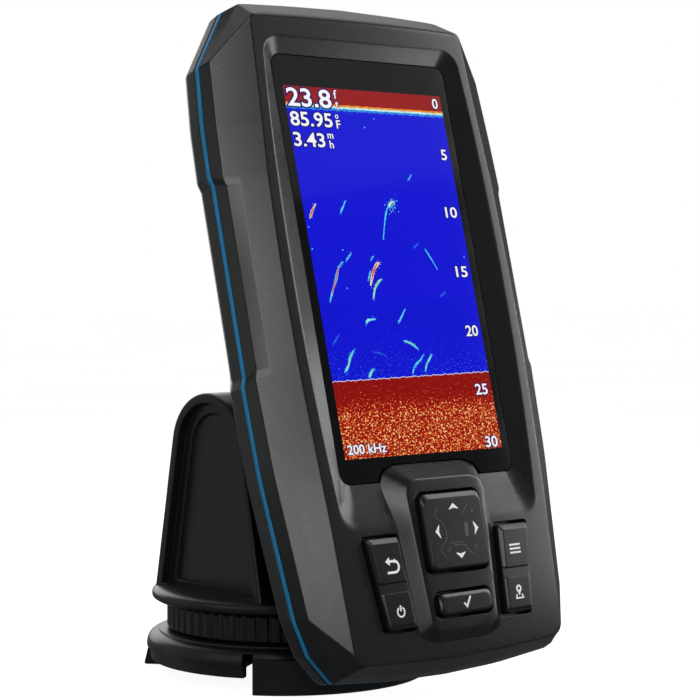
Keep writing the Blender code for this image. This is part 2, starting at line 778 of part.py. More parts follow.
def make_domes(face):
    centres = pad_dome_centres() + [(0, SELECT_CENTRE_Z)] + both_sides(ROCKER_DOMES)
    names = ("up", "right", "down", "left", "select", "menu", "back", "mark", "power")
    for name, centre in zip(names, centres):
        def draw(bm, at=centre):
            add_stack_y(bm, [(2.4, DOME_Y[1]), (2.0, DOME_Y[0] + 0.2), (1.0, DOME_Y[0])], at)
        solid(f"dome_{name}", draw, steel(), face)


# ---------------------------------------------------------------- cable socket

def make_socket(face):
    centre = (0, SOCKET_Z)
    radius = SOCKET_RADIUS
    wall_y = BACK_Y - WALL

    def draw_shell(bm):
        steps = [(radius, SOCKET_END_Y), (6.3, SOCKET_END_Y), (6.3, 29.0), (radius + 2.6, 29.0),
                 (radius + 2.6, 31.6), (radius, 31.6)]
        add_loft(bm, [[(x, y, z) for x, z in circle(r, ROUND, centre)] for r, y in steps],
                 closed=True)

    def draw_pins(bm):
        for x, z in circle(2.6, 4, centre, pi / 4):
            add_disc_y(bm, 0.6, (34.5, 39.0), (x, z), 8)

    solid("socket_shell", draw_shell, mount_plastic(), face)
    insert = solid("socket_insert",
                   lambda bm: add_disc_y(bm, 6.0, (29.5, 35.5), centre, ROUND), rubber(), face)
    join(insert, "pins", draw_pins)
    solid("socket_seal",
          lambda bm: add_tube_y(bm, radius + 2.4, radius + GAP, (31.9, wall_y - GAP), centre),
          rubber(), face)
    solid("socket_nut",
          lambda bm: add_ring_y(bm, circle(12.0, 30, centre), circle(radius + GAP, 30, centre),
                                (BACK_Y + GAP, BACK_Y + 2.8)),
          mount_plastic(), face)


# ---------------------------------------------------------------- cradle

def axis_in_face():
    return (AXIS_TO_SCREEN_Y, -AXIS_TO_SCREEN_Z)


def draw_knuckle(bm):
    y, z = axis_in_face()
    high = arc((y, z), KNUCKLE_RADIUS, 90, -90, 12)
    web = [(CRADLE_Y[1] - 1.0, z - KNUCKLE_RADIUS - 3.0), (CRADLE_Y[1] - 1.0, z + KNUCKLE_RADIUS + 3.0)]
    add_prism_x(bm, high + web, -KNUCKLE_HALF, KNUCKLE_HALF)


def draw_cradle_hook(bm):
    outline = [(CRADLE_Y[0] + 0.5, -45.0), (33.3, -45.0), (33.3, -52.6), (34.7, -52.6),
               (34.7, -49.6), (CRADLE_Y[0] + 0.5, -49.6)]
    add_prism_x(bm, outline, -8.7, 8.7)


def draw_latch_ears(bm):
    y, z = LATCH_AXIS
    outline = [(CRADLE_Y[1] - 0.5, z - 3.4), (y, z - 3.4), (y + 2.6, z - 1.4), (y + 2.6, z + 1.4),
               (y, z + 3.4), (CRADLE_Y[1] - 0.5, z + 3.4)]
    for x in ((-10.6, -7.6), (7.6, 10.6)):
        add_prism_x(bm, outline, x[0], x[1])


def make_cradle(face):
    cradle = solid("cradle", lambda bm: add_box(bm, (-KNUCKLE_HALF, KNUCKLE_HALF), CRADLE_Y,
                                                (CRADLE_BOTTOM, CRADLE_TOP - 1.0)),
                   mount_plastic(), face)
    y, z = axis_in_face()
    join(cradle, "knuckle", draw_knuckle)
    join(cradle, "hook", draw_cradle_hook)
    join(cradle, "ears", draw_latch_ears)
    cut(cradle, "bolt_hole",
        lambda bm: add_prism_x(bm, circle(BOLT_RADIUS + GAP, 24, (y, z)), -30, 30))
    cut(cradle, "pin_hole",
        lambda bm: add_prism_x(bm, circle(1.3, SMALL, LATCH_AXIS), -12, 12))


def draw_latch(bm):
    """Lever: thumb tab above, nose that reaches through to the rear casing below."""
    y, z = LATCH_AXIS
    outline = [(y - 1.9, z - 2.0), (y + 2.2, z - 2.0), (y + 2.2, z + 10.0), (y + 0.4, z + 10.0),
               (y - 0.6, z + 6.6), (34.4, z + 6.6), (34.2, z + 7.7), (33.4, z + 7.0),
               (33.4, z + 4.1), (y - 1.9, z + 4.1)]
    add_prism_x(bm, outline, -5.6, 5.6)


def make_latch(face):
    axis = (0, LATCH_AXIS[0], LATCH_AXIS[1])
    latch = solid("release_latch", draw_latch, mount_plastic(), face, axis)
    cut(latch, "pin_hole", lambda bm: add_prism_x(bm, circle(1.3, SMALL, LATCH_AXIS), -8, 8))
    solid("latch_pin", lambda bm: add_prism_x(bm, circle(1.0, SMALL, LATCH_AXIS), -10.4, 10.4),
          steel(), face)


# ---------------------------------------------------------------- tower and tilt joint

def arch_outline(shrink=0.0, foot_z=FLANGE_Z[1] - 0.6, steps=20):
    """Side view of the tower, (y, z): a round head on two straight, spreading sides."""
    radius = ARCH_RADIUS - shrink
    drop = TILT_AXIS_Z - ARCH_FOOT_Z
    reach = hypot(ARCH_FOOT_HALF, drop)
    lean = atan2(ARCH_FOOT_HALF, drop) - asin(ARCH_RADIUS / reach)
    points = arc((0, TILT_AXIS_Z), radius, 180 + degrees(lean), -degrees(lean), steps)
    foot_half = radius / cos(lean) + (TILT_AXIS_Z - foot_z) * sin(lean) / cos(lean)
    return points + [(foot_half, foot_z), (-foot_half, foot_z)]


def draw_tower_foot(bm):
    low, high = FLANGE_Z
    profile = [(3.4, 11.8), (21.6, 11.8), (21.6, low), (35.0, low), (FLANGE_RADIUS, low + 0.8),
               (FLANGE_RADIUS, high - 0.6), (35.2, high + 0.3), (30.0, high + 1.6),
               (3.4, high + 1.6)]
    add_turned(bm, profile, FINE)


def draw_side_panels(bm):
    for side in (1, -1):
        rim = arch_outline(2.7, FLANGE_Z[1] + 1.2)
        add_prism_x(bm, rim, side * (TOWER_HALF_WIDTH + 1.0), side * (TOWER_HALF_WIDTH - 2.5))


def draw_inner_panels(bm):
    for side in (1, -1):
        panel = arch_outline(5.4, FLANGE_Z[1] + 2.4)
        add_prism_x(bm, panel, side * (TOWER_HALF_WIDTH - 2.0), side * (TOWER_HALF_WIDTH - 3.5))


def draw_bolt_holes(bm):
    axis = (0, TILT_AXIS_Z)
    add_prism_x(bm, circle(BOLT_RADIUS + GAP, 24, axis), -21.5, 30)


def draw_bolt_seats(bm):
    axis = (0, TILT_AXIS_Z)
    add_prism_x(bm, circle(6.1, 24, axis), 19.8, 30)
    add_prism_x(bm, circle(5.9, 6, axis), -19.9, -14)


def make_tower(swivel):
    tower = solid("tower", draw_tower_foot, mount_plastic(), swivel)
    join(tower, "arch", lambda bm: add_prism_x(bm, arch_outline(), -TOWER_HALF_WIDTH,
                                               TOWER_HALF_WIDTH))
    cut(tower, "side_panels", draw_side_panels)
    cut(tower, "inner_panels", draw_inner_panels)
    cut(tower, "slot", lambda bm: add_box(bm, (-TOWER_SLOT_HALF, TOWER_SLOT_HALF), (-40, 40),
                                          (TOWER_SLOT_FLOOR, 90)))
    cut(tower, "screw_well", lambda bm: add_prism_z(bm, circle(WELL_RADIUS, 24), WELL_FLOOR,
                                                    TOWER_SLOT_FLOOR + 1.0))
    cut(tower, "bolt_hole", draw_bolt_holes)
    cut(tower, "bolt_seats", draw_bolt_seats)


def make_tilt_fasteners(swivel):
    axis = (0, TILT_AXIS_Z)

    def draw_bolt(bm):
        steps = [(BOLT_RADIUS, -20.8), (BOLT_RADIUS, 20.1), (5.6, 20.1), (5.6, 23.3)]
        add_loft(bm, [[(x, y, z) for y, z in circle(r, 24, axis)] for r, x in steps])

    def draw_washer(bm, side):
        near, far = side * (KNUCKLE_HALF + GAP), side * (TOWER_SLOT_HALF - GAP)
        rings = [(9.0, near), (9.0, far), (BOLT_RADIUS + GAP, far), (BOLT_RADIUS + GAP, near)]
        add_loft(bm, [[(x, y, z) for y, z in circle(r, 24, axis)] for r, x in rings], closed=True)

    def draw_nut(bm):
        outer = [(x, y) for x, y in hexagon_points(axis)]
        bore = circle(BOLT_RADIUS + GAP, 24, axis)
        loops = [(outer, -19.6), (outer, -15.3), (bore, -15.3), (bore, -19.6)]
        add_loft(bm, [[(x, y, z) for y, z in ring] for ring, x in loops], closed=True)

    solid("tilt_bolt", draw_bolt, steel(), swivel)
    solid("tilt_nut", draw_nut, steel(), swivel)
    solid("tilt_washer_right", lambda bm: draw_washer(bm, 1), rubber(), swivel)
    solid("tilt_washer_left", lambda bm: draw_washer(bm, -1), rubber(), swivel)


def hexagon_points(centre, across=9.4, per_side=4):
    """A hexagon sampled at 24 points, so that it pairs with a 24-sided bore."""
    corners = circle(across / 2 / cos(pi / 6), 6, centre)
    points = []
    for i in range(6):
        start, end = Vector(corners[i]), Vector(corners[(i + 1) % 6])
        for k in range(per_side):
            point = start.lerp(end, k / per_side)
            points.append((point.x, point.y))
    return points


# ---------------------------------------------------------------- swivel base

def draw_base_body(bm):
    top, low = BASE_TOP, DISC_BOTTOM
    profile = [(0.01, 0), (HUB_BOSS_RADIUS, 0), (HUB_BOSS_RADIUS, low), (33.8, low),
               (33.8, SKIRT_BOTTOM), (36.6, SKIRT_BOTTOM), (36.6, 7.1), (BASE_RADIUS, 7.1),
               (BASE_RADIUS, top - 2.6), (36.9, top - 0.9), (35.4, top),
               (STEP_RADIUS, top), (STEP_RADIUS, STEP_TOP), (NECK_OUTER, STEP_TOP),
               (NECK_OUTER, NECK_TOP), (NECK_INNER, NECK_TOP), (NECK_INNER, top),
               (0.01, top)]
    add_turned(bm, profile, FINE, closed=False)


def sector(inner, outer, start, end, steps):
    """Outline, (x, y), of a piece of a ring between two angles."""
    outside = arc((0, 0), outer, start, end, steps)
    inside = arc((0, 0), inner, end, start, steps)
    return outside + inside


def draw_feet(bm):
    for (start, end), flare in ((FRONT_FOOT, 0.0), (BACK_FOOT, FOOT_FLARE)):
        steps = round((end - start) / 360 * FINE)
        rings = [(FOOT_OUTER + flare, 0), (FOOT_OUTER, BASE_TOP - 2.0)]
        add_loft(bm, [[(x, y, z) for x, y in sector(FOOT_INNER, radius, start, end, steps)]
                      for radius, z in rings])


def draw_screw_pads(bm):
    for x, y in circle(15.5, 4, (0, 0), pi / 4):
        add_prism_z(bm, circle(4.2, 16, (x, y)), 0, BASE_TOP - 1.0)


def draw_base_slots(bm):
    for start, end in SLOT_ANGLES:
        add_prism_z(bm, sector(31.0, BASE_RADIUS + 2, start, end, 1), -1, BASE_TOP - 1.1)


def draw_base_holes(bm):
    for x, y in circle(15.5, 4, (0, 0), pi / 4):
        add_prism_z(bm, circle(2.2, SMALL, (x, y)), -1, BASE_TOP + 1)
    add_prism_z(bm, circle(2.8, SMALL), 3.0, BASE_TOP + 1)


def make_base():
    base = solid("swivel_base", draw_base_body, mount_plastic(), None)
    join(base, "feet", draw_feet)
    join(base, "screw_pads", draw_screw_pads)
    cut(base, "slots", draw_base_slots)
    cut(base, "holes", draw_base_holes)
    low, high = NECK_TOP + GAP, FLANGE_Z[0] - GAP
    solid("bearing_ring", lambda bm: add_turned(bm, [(25.3, low), (25.3, high), (22.4, high),
                                                     (22.4, low)], FINE), rubber(), None)
    solid("swivel_washer", lambda bm: add_turned(bm, [(7.5, 14.0), (7.5, 15.0), (3.0, 15.0),
                                                      (3.0, 14.0)], 24), steel(), None)
    screw = [(2.5, 3.4), (2.5, 15.3), (5.2, 15.3), (5.2, 18.4)]
    solid("swivel_screw", lambda bm: add_turned(bm, screw, 24, closed=False), steel(), None)


def make_lock_ring():
    """Collar with upright ribs all round."""
    low, high = RING_Z
    inner = NECK_OUTER + GAP
    step = 2 * pi / RING_RIBS

    ribbed = []
    for i in range(RING_RIBS):
        for share, radius in ((0.0, RING_OUTER), (0.5, RING_OUTER - 0.9)):
            angle = step * (i + share)
            ribbed.append((radius * cos(angle), radius * sin(angle)))

    def draw(bm):
        bore = circle(inner, 2 * RING_RIBS)
        loops = [(bore, low), (ribbed, low), (ribbed, high), (bore, high)]
        add_loft(bm, [[(x, y, z) for x, y in ring] for ring, z in loops], closed=True)

    solid("swivel_lock_ring", draw, mount_plastic(), None)


# ---------------------------------------------------------------- assembly

def main():
    clear_scene()
    swivel = empty("swivel_axis", (0, 0, 0))
    tilt = empty("tilt_axis", (0, 0, TILT_AXIS_Z), swivel, (-UNIT_TILT, 0, 0))
    face = empty("screen_centre", (0, -AXIS_TO_SCREEN_Y, AXIS_TO_SCREEN_Z), tilt)
    make_base()
    make_lock_ring()
    make_tower(swivel)
    make_tilt_fasteners(swivel)
    make_cradle(face)
    make_latch(face)
    make_rear_housing(face)
    make_front_housing(face)
    make_trim_and_seal(face)
    make_case_screws(face)
    make_screen_stack(face)
    make_chassis(face)
    make_boards(face)
    make_board_parts(face)
    make_pad(face)
    make_select_key(face)
    make_rocker("menu_mark_rocker", 1, face)
    make_rocker("back_power_rocker", -1, face)
    make_domes(face)
    make_socket(face)


main()
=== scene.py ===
"""The looks of the fish finder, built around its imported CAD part.

Lengths are in millimetres and are scaled to metres as each mesh is made.
World: origin on the swivel axis at floor level, +X to the user's right, +Y away, +Z up.
Face frame, used by the whole display unit: X to the right, Z up the screen, Y into
the unit, origin at the middle of the screen.
"""

from math import asin, atan2, cos, degrees, dist, hypot, pi, radians, sin
from random import Random

import bmesh
import bpy
from mathutils import Matrix, Vector
from mathutils.geometry import delaunay_2d_cdt


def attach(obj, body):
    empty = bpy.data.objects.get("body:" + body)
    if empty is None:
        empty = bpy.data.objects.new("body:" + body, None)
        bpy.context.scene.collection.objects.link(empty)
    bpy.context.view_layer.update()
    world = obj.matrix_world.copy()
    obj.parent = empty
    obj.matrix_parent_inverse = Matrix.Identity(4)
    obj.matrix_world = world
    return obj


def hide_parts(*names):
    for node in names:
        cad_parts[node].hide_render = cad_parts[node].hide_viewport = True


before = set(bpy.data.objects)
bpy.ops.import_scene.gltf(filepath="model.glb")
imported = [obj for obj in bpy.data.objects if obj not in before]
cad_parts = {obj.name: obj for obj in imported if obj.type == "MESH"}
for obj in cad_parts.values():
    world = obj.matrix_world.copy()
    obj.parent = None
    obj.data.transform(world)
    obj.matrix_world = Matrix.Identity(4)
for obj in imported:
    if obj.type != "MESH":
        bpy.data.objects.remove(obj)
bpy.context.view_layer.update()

MM = 0.001

# Display unit, as in the CAD part
UNIT_TILT = radians(14.28)
TILT_AXIS_Z = 60.8
AXIS_TO_SCREEN_Y = 52.2
AXIS_TO_SCREEN_Z = 34.9
FACE = (Matrix.Translation((0, 0, TILT_AXIS_Z * MM)) @ Matrix.Rotation(-UNIT_TILT, 4, "X")
        @ Matrix.Translation((0, -AXIS_TO_SCREEN_Y * MM, AXIS_TO_SCREEN_Z * MM)))
WORLD = Matrix.Identity(4)

FRAME_Y = -2.85
GRIP_Y = 1.1
EDGE_Y = 3.4
FRONT_END_Y = 6.45
TRIM_Y = (6.75, 8.05)
REAR_START_Y = 8.35
REAR_SHOULDER_Y = 12.8
BACK_Y = 36.9
WALL = 2.4
RIM = 4.8
RIM_LAP = 1.0                              # the front's cavity is this much wider than the rear's
PARTING_EDGE = 0.3                         # bevel where the two casings meet
FLAT_MARGIN = 1.6                          # strip of the flat frame next to the chamfer
TOP_CREASE = (35.0, 64.0, 0.8)             # half width, height and fade of the softer top crease
INNER_FRONT_Y = 3.3
KEY_WALL_Y = -0.65
KEYPAD_TOP = -62.0
KEYPAD_SLOPE = 0.026

# Right half of each outline, top to bottom, as (x, z)
PARTING = [
    (0, 71.3), (20, 70.8), (32.2, 69.6), (36.8, 68.2), (47.4, 52.8), (48.8, 38),
    (49.15, 25.1), (49.15, 22.8), (49.15, 0), (49.15, -24.7), (49.15, -27.1),
    (48.6, -49), (45.2, -83.7), (42.6, -92.6), (37, -99.7), (18, -101.4), (0, -101.9)]
EDGE = [
    (0, 70.6), (18.0, 70.2), (31.5, 69.7), (34.3, 69.4), (46.2, 53.6), (47.3, 37.6),
    (47.9, 23.8), (47.9, 22.0), (48.0, 0), (47.9, -23.4), (47.9, -25.4),
    (47.0, -49), (43.7, -84.1), (41.0, -92.4), (36.6, -98.9), (17.6, -100.4), (0, -100.9)]
FRAME = [
    (0, 65.4), (18, 65.3), (30.5, 65.0), (35.5, 64.7), (36.1, 63.9), (37.6, 38),
    (38.6, 24.0), (38.7, 22.0), (39.2, 0), (39.0, -23.4), (38.9, -25.4),
    (37.9, -49), (34.5, -96.1), (33.9, -96.5), (32.6, -96.7), (16, -97.4), (0, -97.8)]
CORNER_REACH = [0, 3, 3, 0.5, 0.5, 2, 0.25, 0.25, 0, 0.25, 0.25, 4, 0.6, 0.4, 0.8, 4, 0]
GRIP_POINTS = (7, 8, 9)
GRIP_EDGE_HALF = 47.3
GRIP_PARTING_HALF = 48.3
BACK_WIDTH_RATIO = 0.53
BACK_TOP = 58.0
BACK_BOTTOM = -56.5

# Screen, its recess and the pane
SCREEN_HALF = 27.2
LAYER = 0.012                              # step between the layers of the screen's picture
WATERLINE = 41.6
SHORE = -27.5
SCHOOL = (2.9, 17.2)                       # middle of the thick shoal of fish
SCREEN_TOP = 47.5
LENS_Y = -0.5
LENS = (29.85, -53.5, 55.6, 3.0)           # half width, bottom, top, corner radius
POCKET = (30.0, -53.65, 55.75, 3.15)
RECESS = (33.2, -65.0, 59.6, 5.0)
RECESS_BULGE = 2.9                         # how much wider the recess is half way down
RECESS_EDGE = 0.09                         # share of the recess slope taken by its rounded rim
POCKET_FLOOR_Y = 2.1
WINDOW = (SCREEN_HALF + 0.4, 48.0)
LENS_THICK = 1.5
LENS_RIM = 0.15

# Pod that carries the pad and the select key
POD_FOOT = [(0, -49.6), (11.6, -49.6), (15.6, -51), (17.6, -54.6), (16.1, -66),
            (14, -92.3), (9, -94.2), (0, -94.2)]
POD_TOP = [(0, -54), (9.8, -54), (12.3, -55), (13.4, -57.5), (13, -66),
           (11.3, -90.5), (9, -92), (0, -92.2)]
POD_REACH = [0, 1.2, 1.2, 1.6, 3, 1.2, 1.0, 0]
POD_HEIGHT = 5.2
POD_SLOPE = 0.02
POD_RIM = 0.6                              # width and drop of the pod's sloping rim
POD_RIM_DROP = 0.20

# Keys
KEY_GAP = 0.8
KEY_LIP_Y = (0.4, 1.1)
KEY_WELL = (31.0, -92.2, -55.4)            # half width, bottom and top of the room behind the keys
PAD_CENTRE_Z = -67.6
PAD_HOLE = (11.0, PAD_CENTRE_Z - 10.3, PAD_CENTRE_Z + 10.3, 2.5)
PAD_TOP = 6.6
SELECT_CENTRE_Z = -85.4
SELECT_HOLE = (9.8, SELECT_CENTRE_Z - 3.4, SELECT_CENTRE_Z + 3.4, 2.1)
SELECT_TOP = 5.9
ROCKER_HOLE = [(16.5, -66.5), (28.8, -66.5), (25.6, -90.4), (14.7, -90.4)]
ROCKER_AXIS_Z = -79.6
ROCKER_BAR_HALF = 1.0
ROCKER_BAR_TOP = 3.5
ROCKER_TOP = (4.6, 3.7)

# Back of the unit; the slots are (half width, bottom, top)
CASE_SCREWS = ((38.8, 44.0), (38.8, -14.0), (36.5, -66.0))
BOSS = (3.4, 19.0)                         # radius and rear end of a screw boss
SCREW_BORE = 1.3
SCREW_WELL = 2.7
SCREW_SEAT_Y = 13.5
SCREW_HEAD = (2.3, 13.8, 15.6)             # radius, underside and crown
SCREW_CROSS = (1.25, 0.28)                 # half length and half width of its cross
HOOK_SLOT = (9.0, -49.9, -44.7)
LATCH_SLOT = (6.0, 9.4, 13.6)
SLOT_FLOOR_Y = 33.0
SOCKET_Z = 32.0

# Mount
KNUCKLE_RADIUS = 10.0
KNUCKLE_HALF = 13.7
CRADLE_Y = (37.2, 40.2)
LATCH_AXIS = (43.2, 6.0)
TOWER_HALF = 27.6
TOWER_SLOT_HALF = 15.0
TOWER_SLOT_FLOOR = 42.0
WELL_RADIUS = 8.6
ARCH_RADIUS = 14.8
ARCH_FOOT = (22.2, 23.0)
BASE_RADIUS = 37.6
FRONT_FOOT = (216.2, 323.8)                # start and end of each foot round the base, degrees
BACK_FOOT = (52.0, 128.0)
FOOT_SLOT = 4.2                            # slot beside the front foot, degrees
FOOT_OVERLAP = 0.2                         # how far a slot bites into its foot, degrees
SCREW_CIRCLE = 15.5
RING_OUTER = 32.2
RING_INNER = 25.8
RING_Z = (12.3, 19.3)
RING_RIBS = 60

# Camera: a long lens at the unit's left, a little above its middle
CAMERA_PLACE = (-372.45, -439.9, 108.44)
CAMERA_YAW = radians(41.95)
CAMERA_PITCH = radians(2.2165)
CAMERA_LENS = 110.34
CAMERA_SENSOR = 36.0


# ---------------------------------------------------------------- outlines

SMALL = 1e-6
LONGEST_ROUNDING = 0.48                    # share of a side that one rounded corner may take


def lerp(a, b, share):
    return tuple(p + (q - p) * share for p, q in zip(a, b))


def mirrored(half):
    """Whole outline from its right half."""
    return list(half) + [(-x, z) for x, z in reversed(half[1:-1])]


def mirrored_values(half):
    return list(half) + list(reversed(half[1:-1]))


def inset(outline, distance):
    """Move every side of an outline inwards."""
    count = len(outline)
    area = sum(outline[i][0] * outline[(i + 1) % count][1]
               - outline[(i + 1) % count][0] * outline[i][1] for i in range(count))
    side = 1 if area > 0 else -1
    result = []
    for i in range(count):
        before, here, after = outline[i - 1], outline[i], outline[(i + 1) % count]
        first = Vector((here[0] - before[0], here[1] - before[1])).normalized()
        second = Vector((after[0] - here[0], after[1] - here[1])).normalized()
        normal = Vector((-(first.y + second.y), first.x + second.x)).normalized() * side
        reach = max(0.5, normal.dot(Vector((-first.y, first.x)) * side))
        result.append((here[0] + normal.x * distance / reach,
                       here[1] + normal.y * distance / reach))
    return result


def rounding(before, here, after, reach, steps):
    """Points of a rounded corner; reach is how far it runs along either side."""
    if reach == 0:
        return [tuple(here)]
    start = lerp(here, before, min(reach / max(SMALL, dist(before, here)), LONGEST_ROUNDING))
    end = lerp(here, after, min(reach / max(SMALL, dist(after, here)), LONGEST_ROUNDING))
    return [lerp(lerp(start, here, k / steps), lerp(here, end, k / steps), k / steps)
            for k in range(steps + 1)]


def per_corner(reach, count):
    return reach if isinstance(reach, (list, tuple)) else [reach] * count


def eased(corners, reach, steps=4, counts=None):
    """Closed outline with rounded corners; counts divides its sides."""
    count = len(corners)
    parts = [rounding(corners[i - 1], corners[i], corners[(i + 1) % count], size, steps)
             for i, size in enumerate(per_corner(reach, count))]
    points = []
    for i, part in enumerate(parts):
        points += part
        splits = counts[i] if counts else 1
        after = parts[(i + 1) % count][0]
        points += [lerp(part[-1], after, k / splits) for k in range(1, splits)]
    return points


def side_counts(corners, longest):
    count = len(corners)
    return [max(1, round((Vector(corners[(i + 1) % count]) - Vector(corners[i])).length / longest))
            for i in range(count)]


CASE_COUNTS = side_counts(mirrored(PARTING), 6.0)
CASE_REACH = mirrored_values(CORNER_REACH)


def case_loop(corners):
    return eased(corners, CASE_REACH, 4, CASE_COUNTS)


def case_ring(corners, by, y):
    """The case's outline at depth y, moved inwards."""
    return [(x, y, z) for x, z in case_loop(inset(corners, by) if by else corners)]


def with_grip(half, width):
    return [(width, z) if i in GRIP_POINTS else (x, z) for i, (x, z) in enumerate(half)]


def parting_corners():
    return mirrored(with_grip(PARTING, GRIP_PARTING_HALF))


def edge_corners():
    return mirrored(with_grip(EDGE, GRIP_EDGE_HALF))


def rounded_rect(half, low, high, radius, steps=8, splits=1):
    """Rectangle with round corners, each straight side divided into so many splits."""
    corners = []
    for x, z, start in ((half, high, 90), (half, low, 0), (-half, low, -90), (-half, high, -180)):
        cx = x - radius if x > 0 else x + radius
        cz = z - radius if z == high else z + radius
        corners.append(arc((cx, cz), radius, start, start - 90, steps))
    points = []
    for here, after in zip(corners, corners[1:] + corners[:1]):
        points += here + [lerp(here[-1], after[0], k / splits) for k in range(1, splits)]
    return points


def grown(rect, by):
    half, low, high, radius = rect
    return (half + by, low - by, high + by, radius + by)


def arc(centre, radius, start, end, steps):
    points = []
    for i in range(steps + 1):
        angle = radians(start + (end - start) * i / steps)
        points.append((centre[0] + radius * cos(angle), centre[1] + radius * sin(angle)))
    return points


def circle(radius, sides, centre=(0.0, 0.0), phase=0.0):
    step = 2 * pi / sides
    return [(centre[0] + radius * cos(phase + step * i), centre[1] + radius * sin(phase + step * i))
            for i in range(sides)]


def eased_path(points, reach, steps=4):
    """Open path with rounded inner corners; reach may differ from corner to corner."""
    sizes = per_corner(reach, len(points))
    result = [tuple(points[0])]
    for i in range(1, len(points) - 1):
        result += rounding(points[i - 1], points[i], points[i + 1], sizes[i], steps)
    return result + [tuple(points[-1])]


def eased_rings(rings, reach, steps=3):
    """Add rings so that the surface turns softly at each; reach may depend on the column."""
    columns = [eased_path(column, reach(column) if callable(reach) else reach, steps)
               for column in zip(*rings)]
    return [list(ring) for ring in zip(*columns)]


def at_y(outline, y):
    return [(x, y, z) for x, z in outline]


def at_x(outline, x):
    return [(x, y, z) for y, z in outline]


def at_z(outline, z):
    return [(x, y, z) for x, y in outline]


def inside(point, outline):
    x, z = point
    result = False
    for i in range(len(outline)):
        (x1, z1), (x2, z2) = outline[i - 1], outline[i]
        if (z1 > z) != (z2 > z) and x < (x2 - x1) * (z - z1) / (z2 - z1) + x1:
            result = not result
    return result


# ---------------------------------------------------------------- mesh tools

def skin(bm, rings, caps=(True, True), closed=False, material=0):
    loops = [[bm.verts.new(point) for point in ring] for ring in rings]
    count = len(loops[0])
    pairs = list(zip(loops, loops[1:]))
    if closed:
        pairs.append((loops[-1], loops[0]))
    for first, second in pairs:
        for i in range(count):
            j = (i + 1) % count
            face = bm.faces.new((first[i], first[j], second[j], second[i]))
            face.material_index = material
    if not closed:
        for wanted, loop in zip(caps, (loops[0], loops[-1])):
            if wanted:
                bm.faces.new(loop).material_index = material
    return loops


def flood(triangles, borders, start):
    """Triangles that can be reached from the first one without crossing a border."""
    beside = {}
    for number, corners in enumerate(triangles):
        for i in range(len(corners)):
            beside.setdefault(frozenset((corners[i - 1], corners[i])), []).append(number)
    reached, waiting = {start}, [start]
    while waiting:
        corners = triangles[waiting.pop()]
        for i in range(len(corners)):
            side = frozenset((corners[i - 1], corners[i]))
            if side in borders:
                continue
            fresh = [number for number in beside[side] if number not in reached]
            reached.update(fresh)
            waiting += fresh
    return sorted(reached)


def flat_fill(bm, outer, holes, creases, height):
    """Triangles between an outer loop and holes, lifted by height(x, z); creases are kept as edges."""
    points, edges = [], []
    for loop in [outer] + holes + creases:
        start = len(points)
        points += [Vector(p) for p in loop]
        edges += [(start + i, start + (i + 1) % len(loop)) for i in range(len(loop))]
    border_count = sum(len(loop) for loop in [outer] + holes)
    places, sides, triangles, _, side_sources, _ = delaunay_2d_cdt(points, edges, [], 0, 1e-5)
    borders = {frozenset(side) for side, sources in zip(sides, side_sources)
               if any(source < border_count for source in sources)}

    def room(number):
        a, b, c = (places[i] for i in triangles[number])
        middle = (a + b + c) / 3
        if not inside(middle, outer) or any(inside(middle, hole) for hole in holes):
            return 0.0
        return abs((b - a).cross(c - a))

    start = max(range(len(triangles)), key=room)
    verts = [bm.verts.new((p.x, -height(p.x, p.y), p.y)) for p in places]
    for number in flood(triangles, borders, start):
        bm.faces.new([verts[i] for i in triangles[number]])
    for vert in verts:
        if not vert.link_faces:
            bm.verts.remove(vert)


def drop_edges(bm, edges, y):
    """Walls from open edges straight to depth y; returns the new edges there."""
    made = bmesh.ops.extrude_edge_only(bm, edges=edges)["geom"]
    low = {g for g in made if isinstance(g, bmesh.types.BMVert)}
    for vert in low:
        vert.co.y = y
    return [g for g in made if isinstance(g, bmesh.types.BMEdge) and set(g.verts) <= low]


def edge_loop(bm, outline, y):
    verts = [bm.verts.new((x, y, z)) for x, z in outline]
    return [bm.edges.new((verts[i - 1], verts[i])) for i in range(len(verts))]


def fill_between(bm, edges):
    bmesh.ops.triangle_fill(bm, use_beauty=True, edges=edges, normal=(0, 1, 0))


def turned(bm, profile, sides, closed=True, reach=0.4, steps=3, axis="Z", centre=(0, 0),
           ripple=None):
    """Turn a (radius, height) profile; ripple(angle, radius) may change a radius round the turn."""
    if closed:
        path = eased(profile, reach, steps)
    else:
        path = eased_path(profile, reach, steps)
    rings = []
    for radius, height in path:
        ring = []
        for i in range(sides):
            angle = 2 * pi * i / sides
            size = ripple(angle, radius) if ripple else radius
            a, b = centre[0] + size * cos(angle), centre[1] + size * sin(angle)
            ring.append({"X": (height, a, b), "Y": (a, height, b), "Z": (a, b, height)}[axis])
        rings.append(ring)
    skin(bm, rings, closed=closed)


def rod(bm, place, centre, radius, sides, ends):
    """Straight rod between two depths; place(outline, depth) sets its direction."""
    skin(bm, [place(circle(radius, sides, centre), depth) for depth in ends])


def prism(bm, outline, low, high, place, edge=0.4):
    """Extruded outline with softened rims; place(outline, height) sets its direction."""
    if edge == 0:
        skin(bm, [place(outline, low), place(outline, high)])
        return
    rings = [place(inset(outline, edge), low), place(outline, low), place(outline, high),
             place(inset(outline, edge), high)]
    skin(bm, eased_rings(rings, edge * 0.9, 3))


def new_mesh(name, build, materials, place):
    bm = bmesh.new()
    build(bm)
    bmesh.ops.remove_doubles(bm, verts=bm.verts, dist=0.0008)
    bmesh.ops.recalc_face_normals(bm, faces=bm.faces)
    bmesh.ops.scale(bm, verts=bm.verts, vec=(MM, MM, MM))
    mesh = bpy.data.meshes.new(name)
    bm.to_mesh(mesh)
    bm.free()
    for mat in materials:
        mesh.materials.append(mat)
    obj = bpy.data.objects.new(name, mesh)
    bpy.context.collection.objects.link(obj)
    obj.matrix_world = place
    return obj


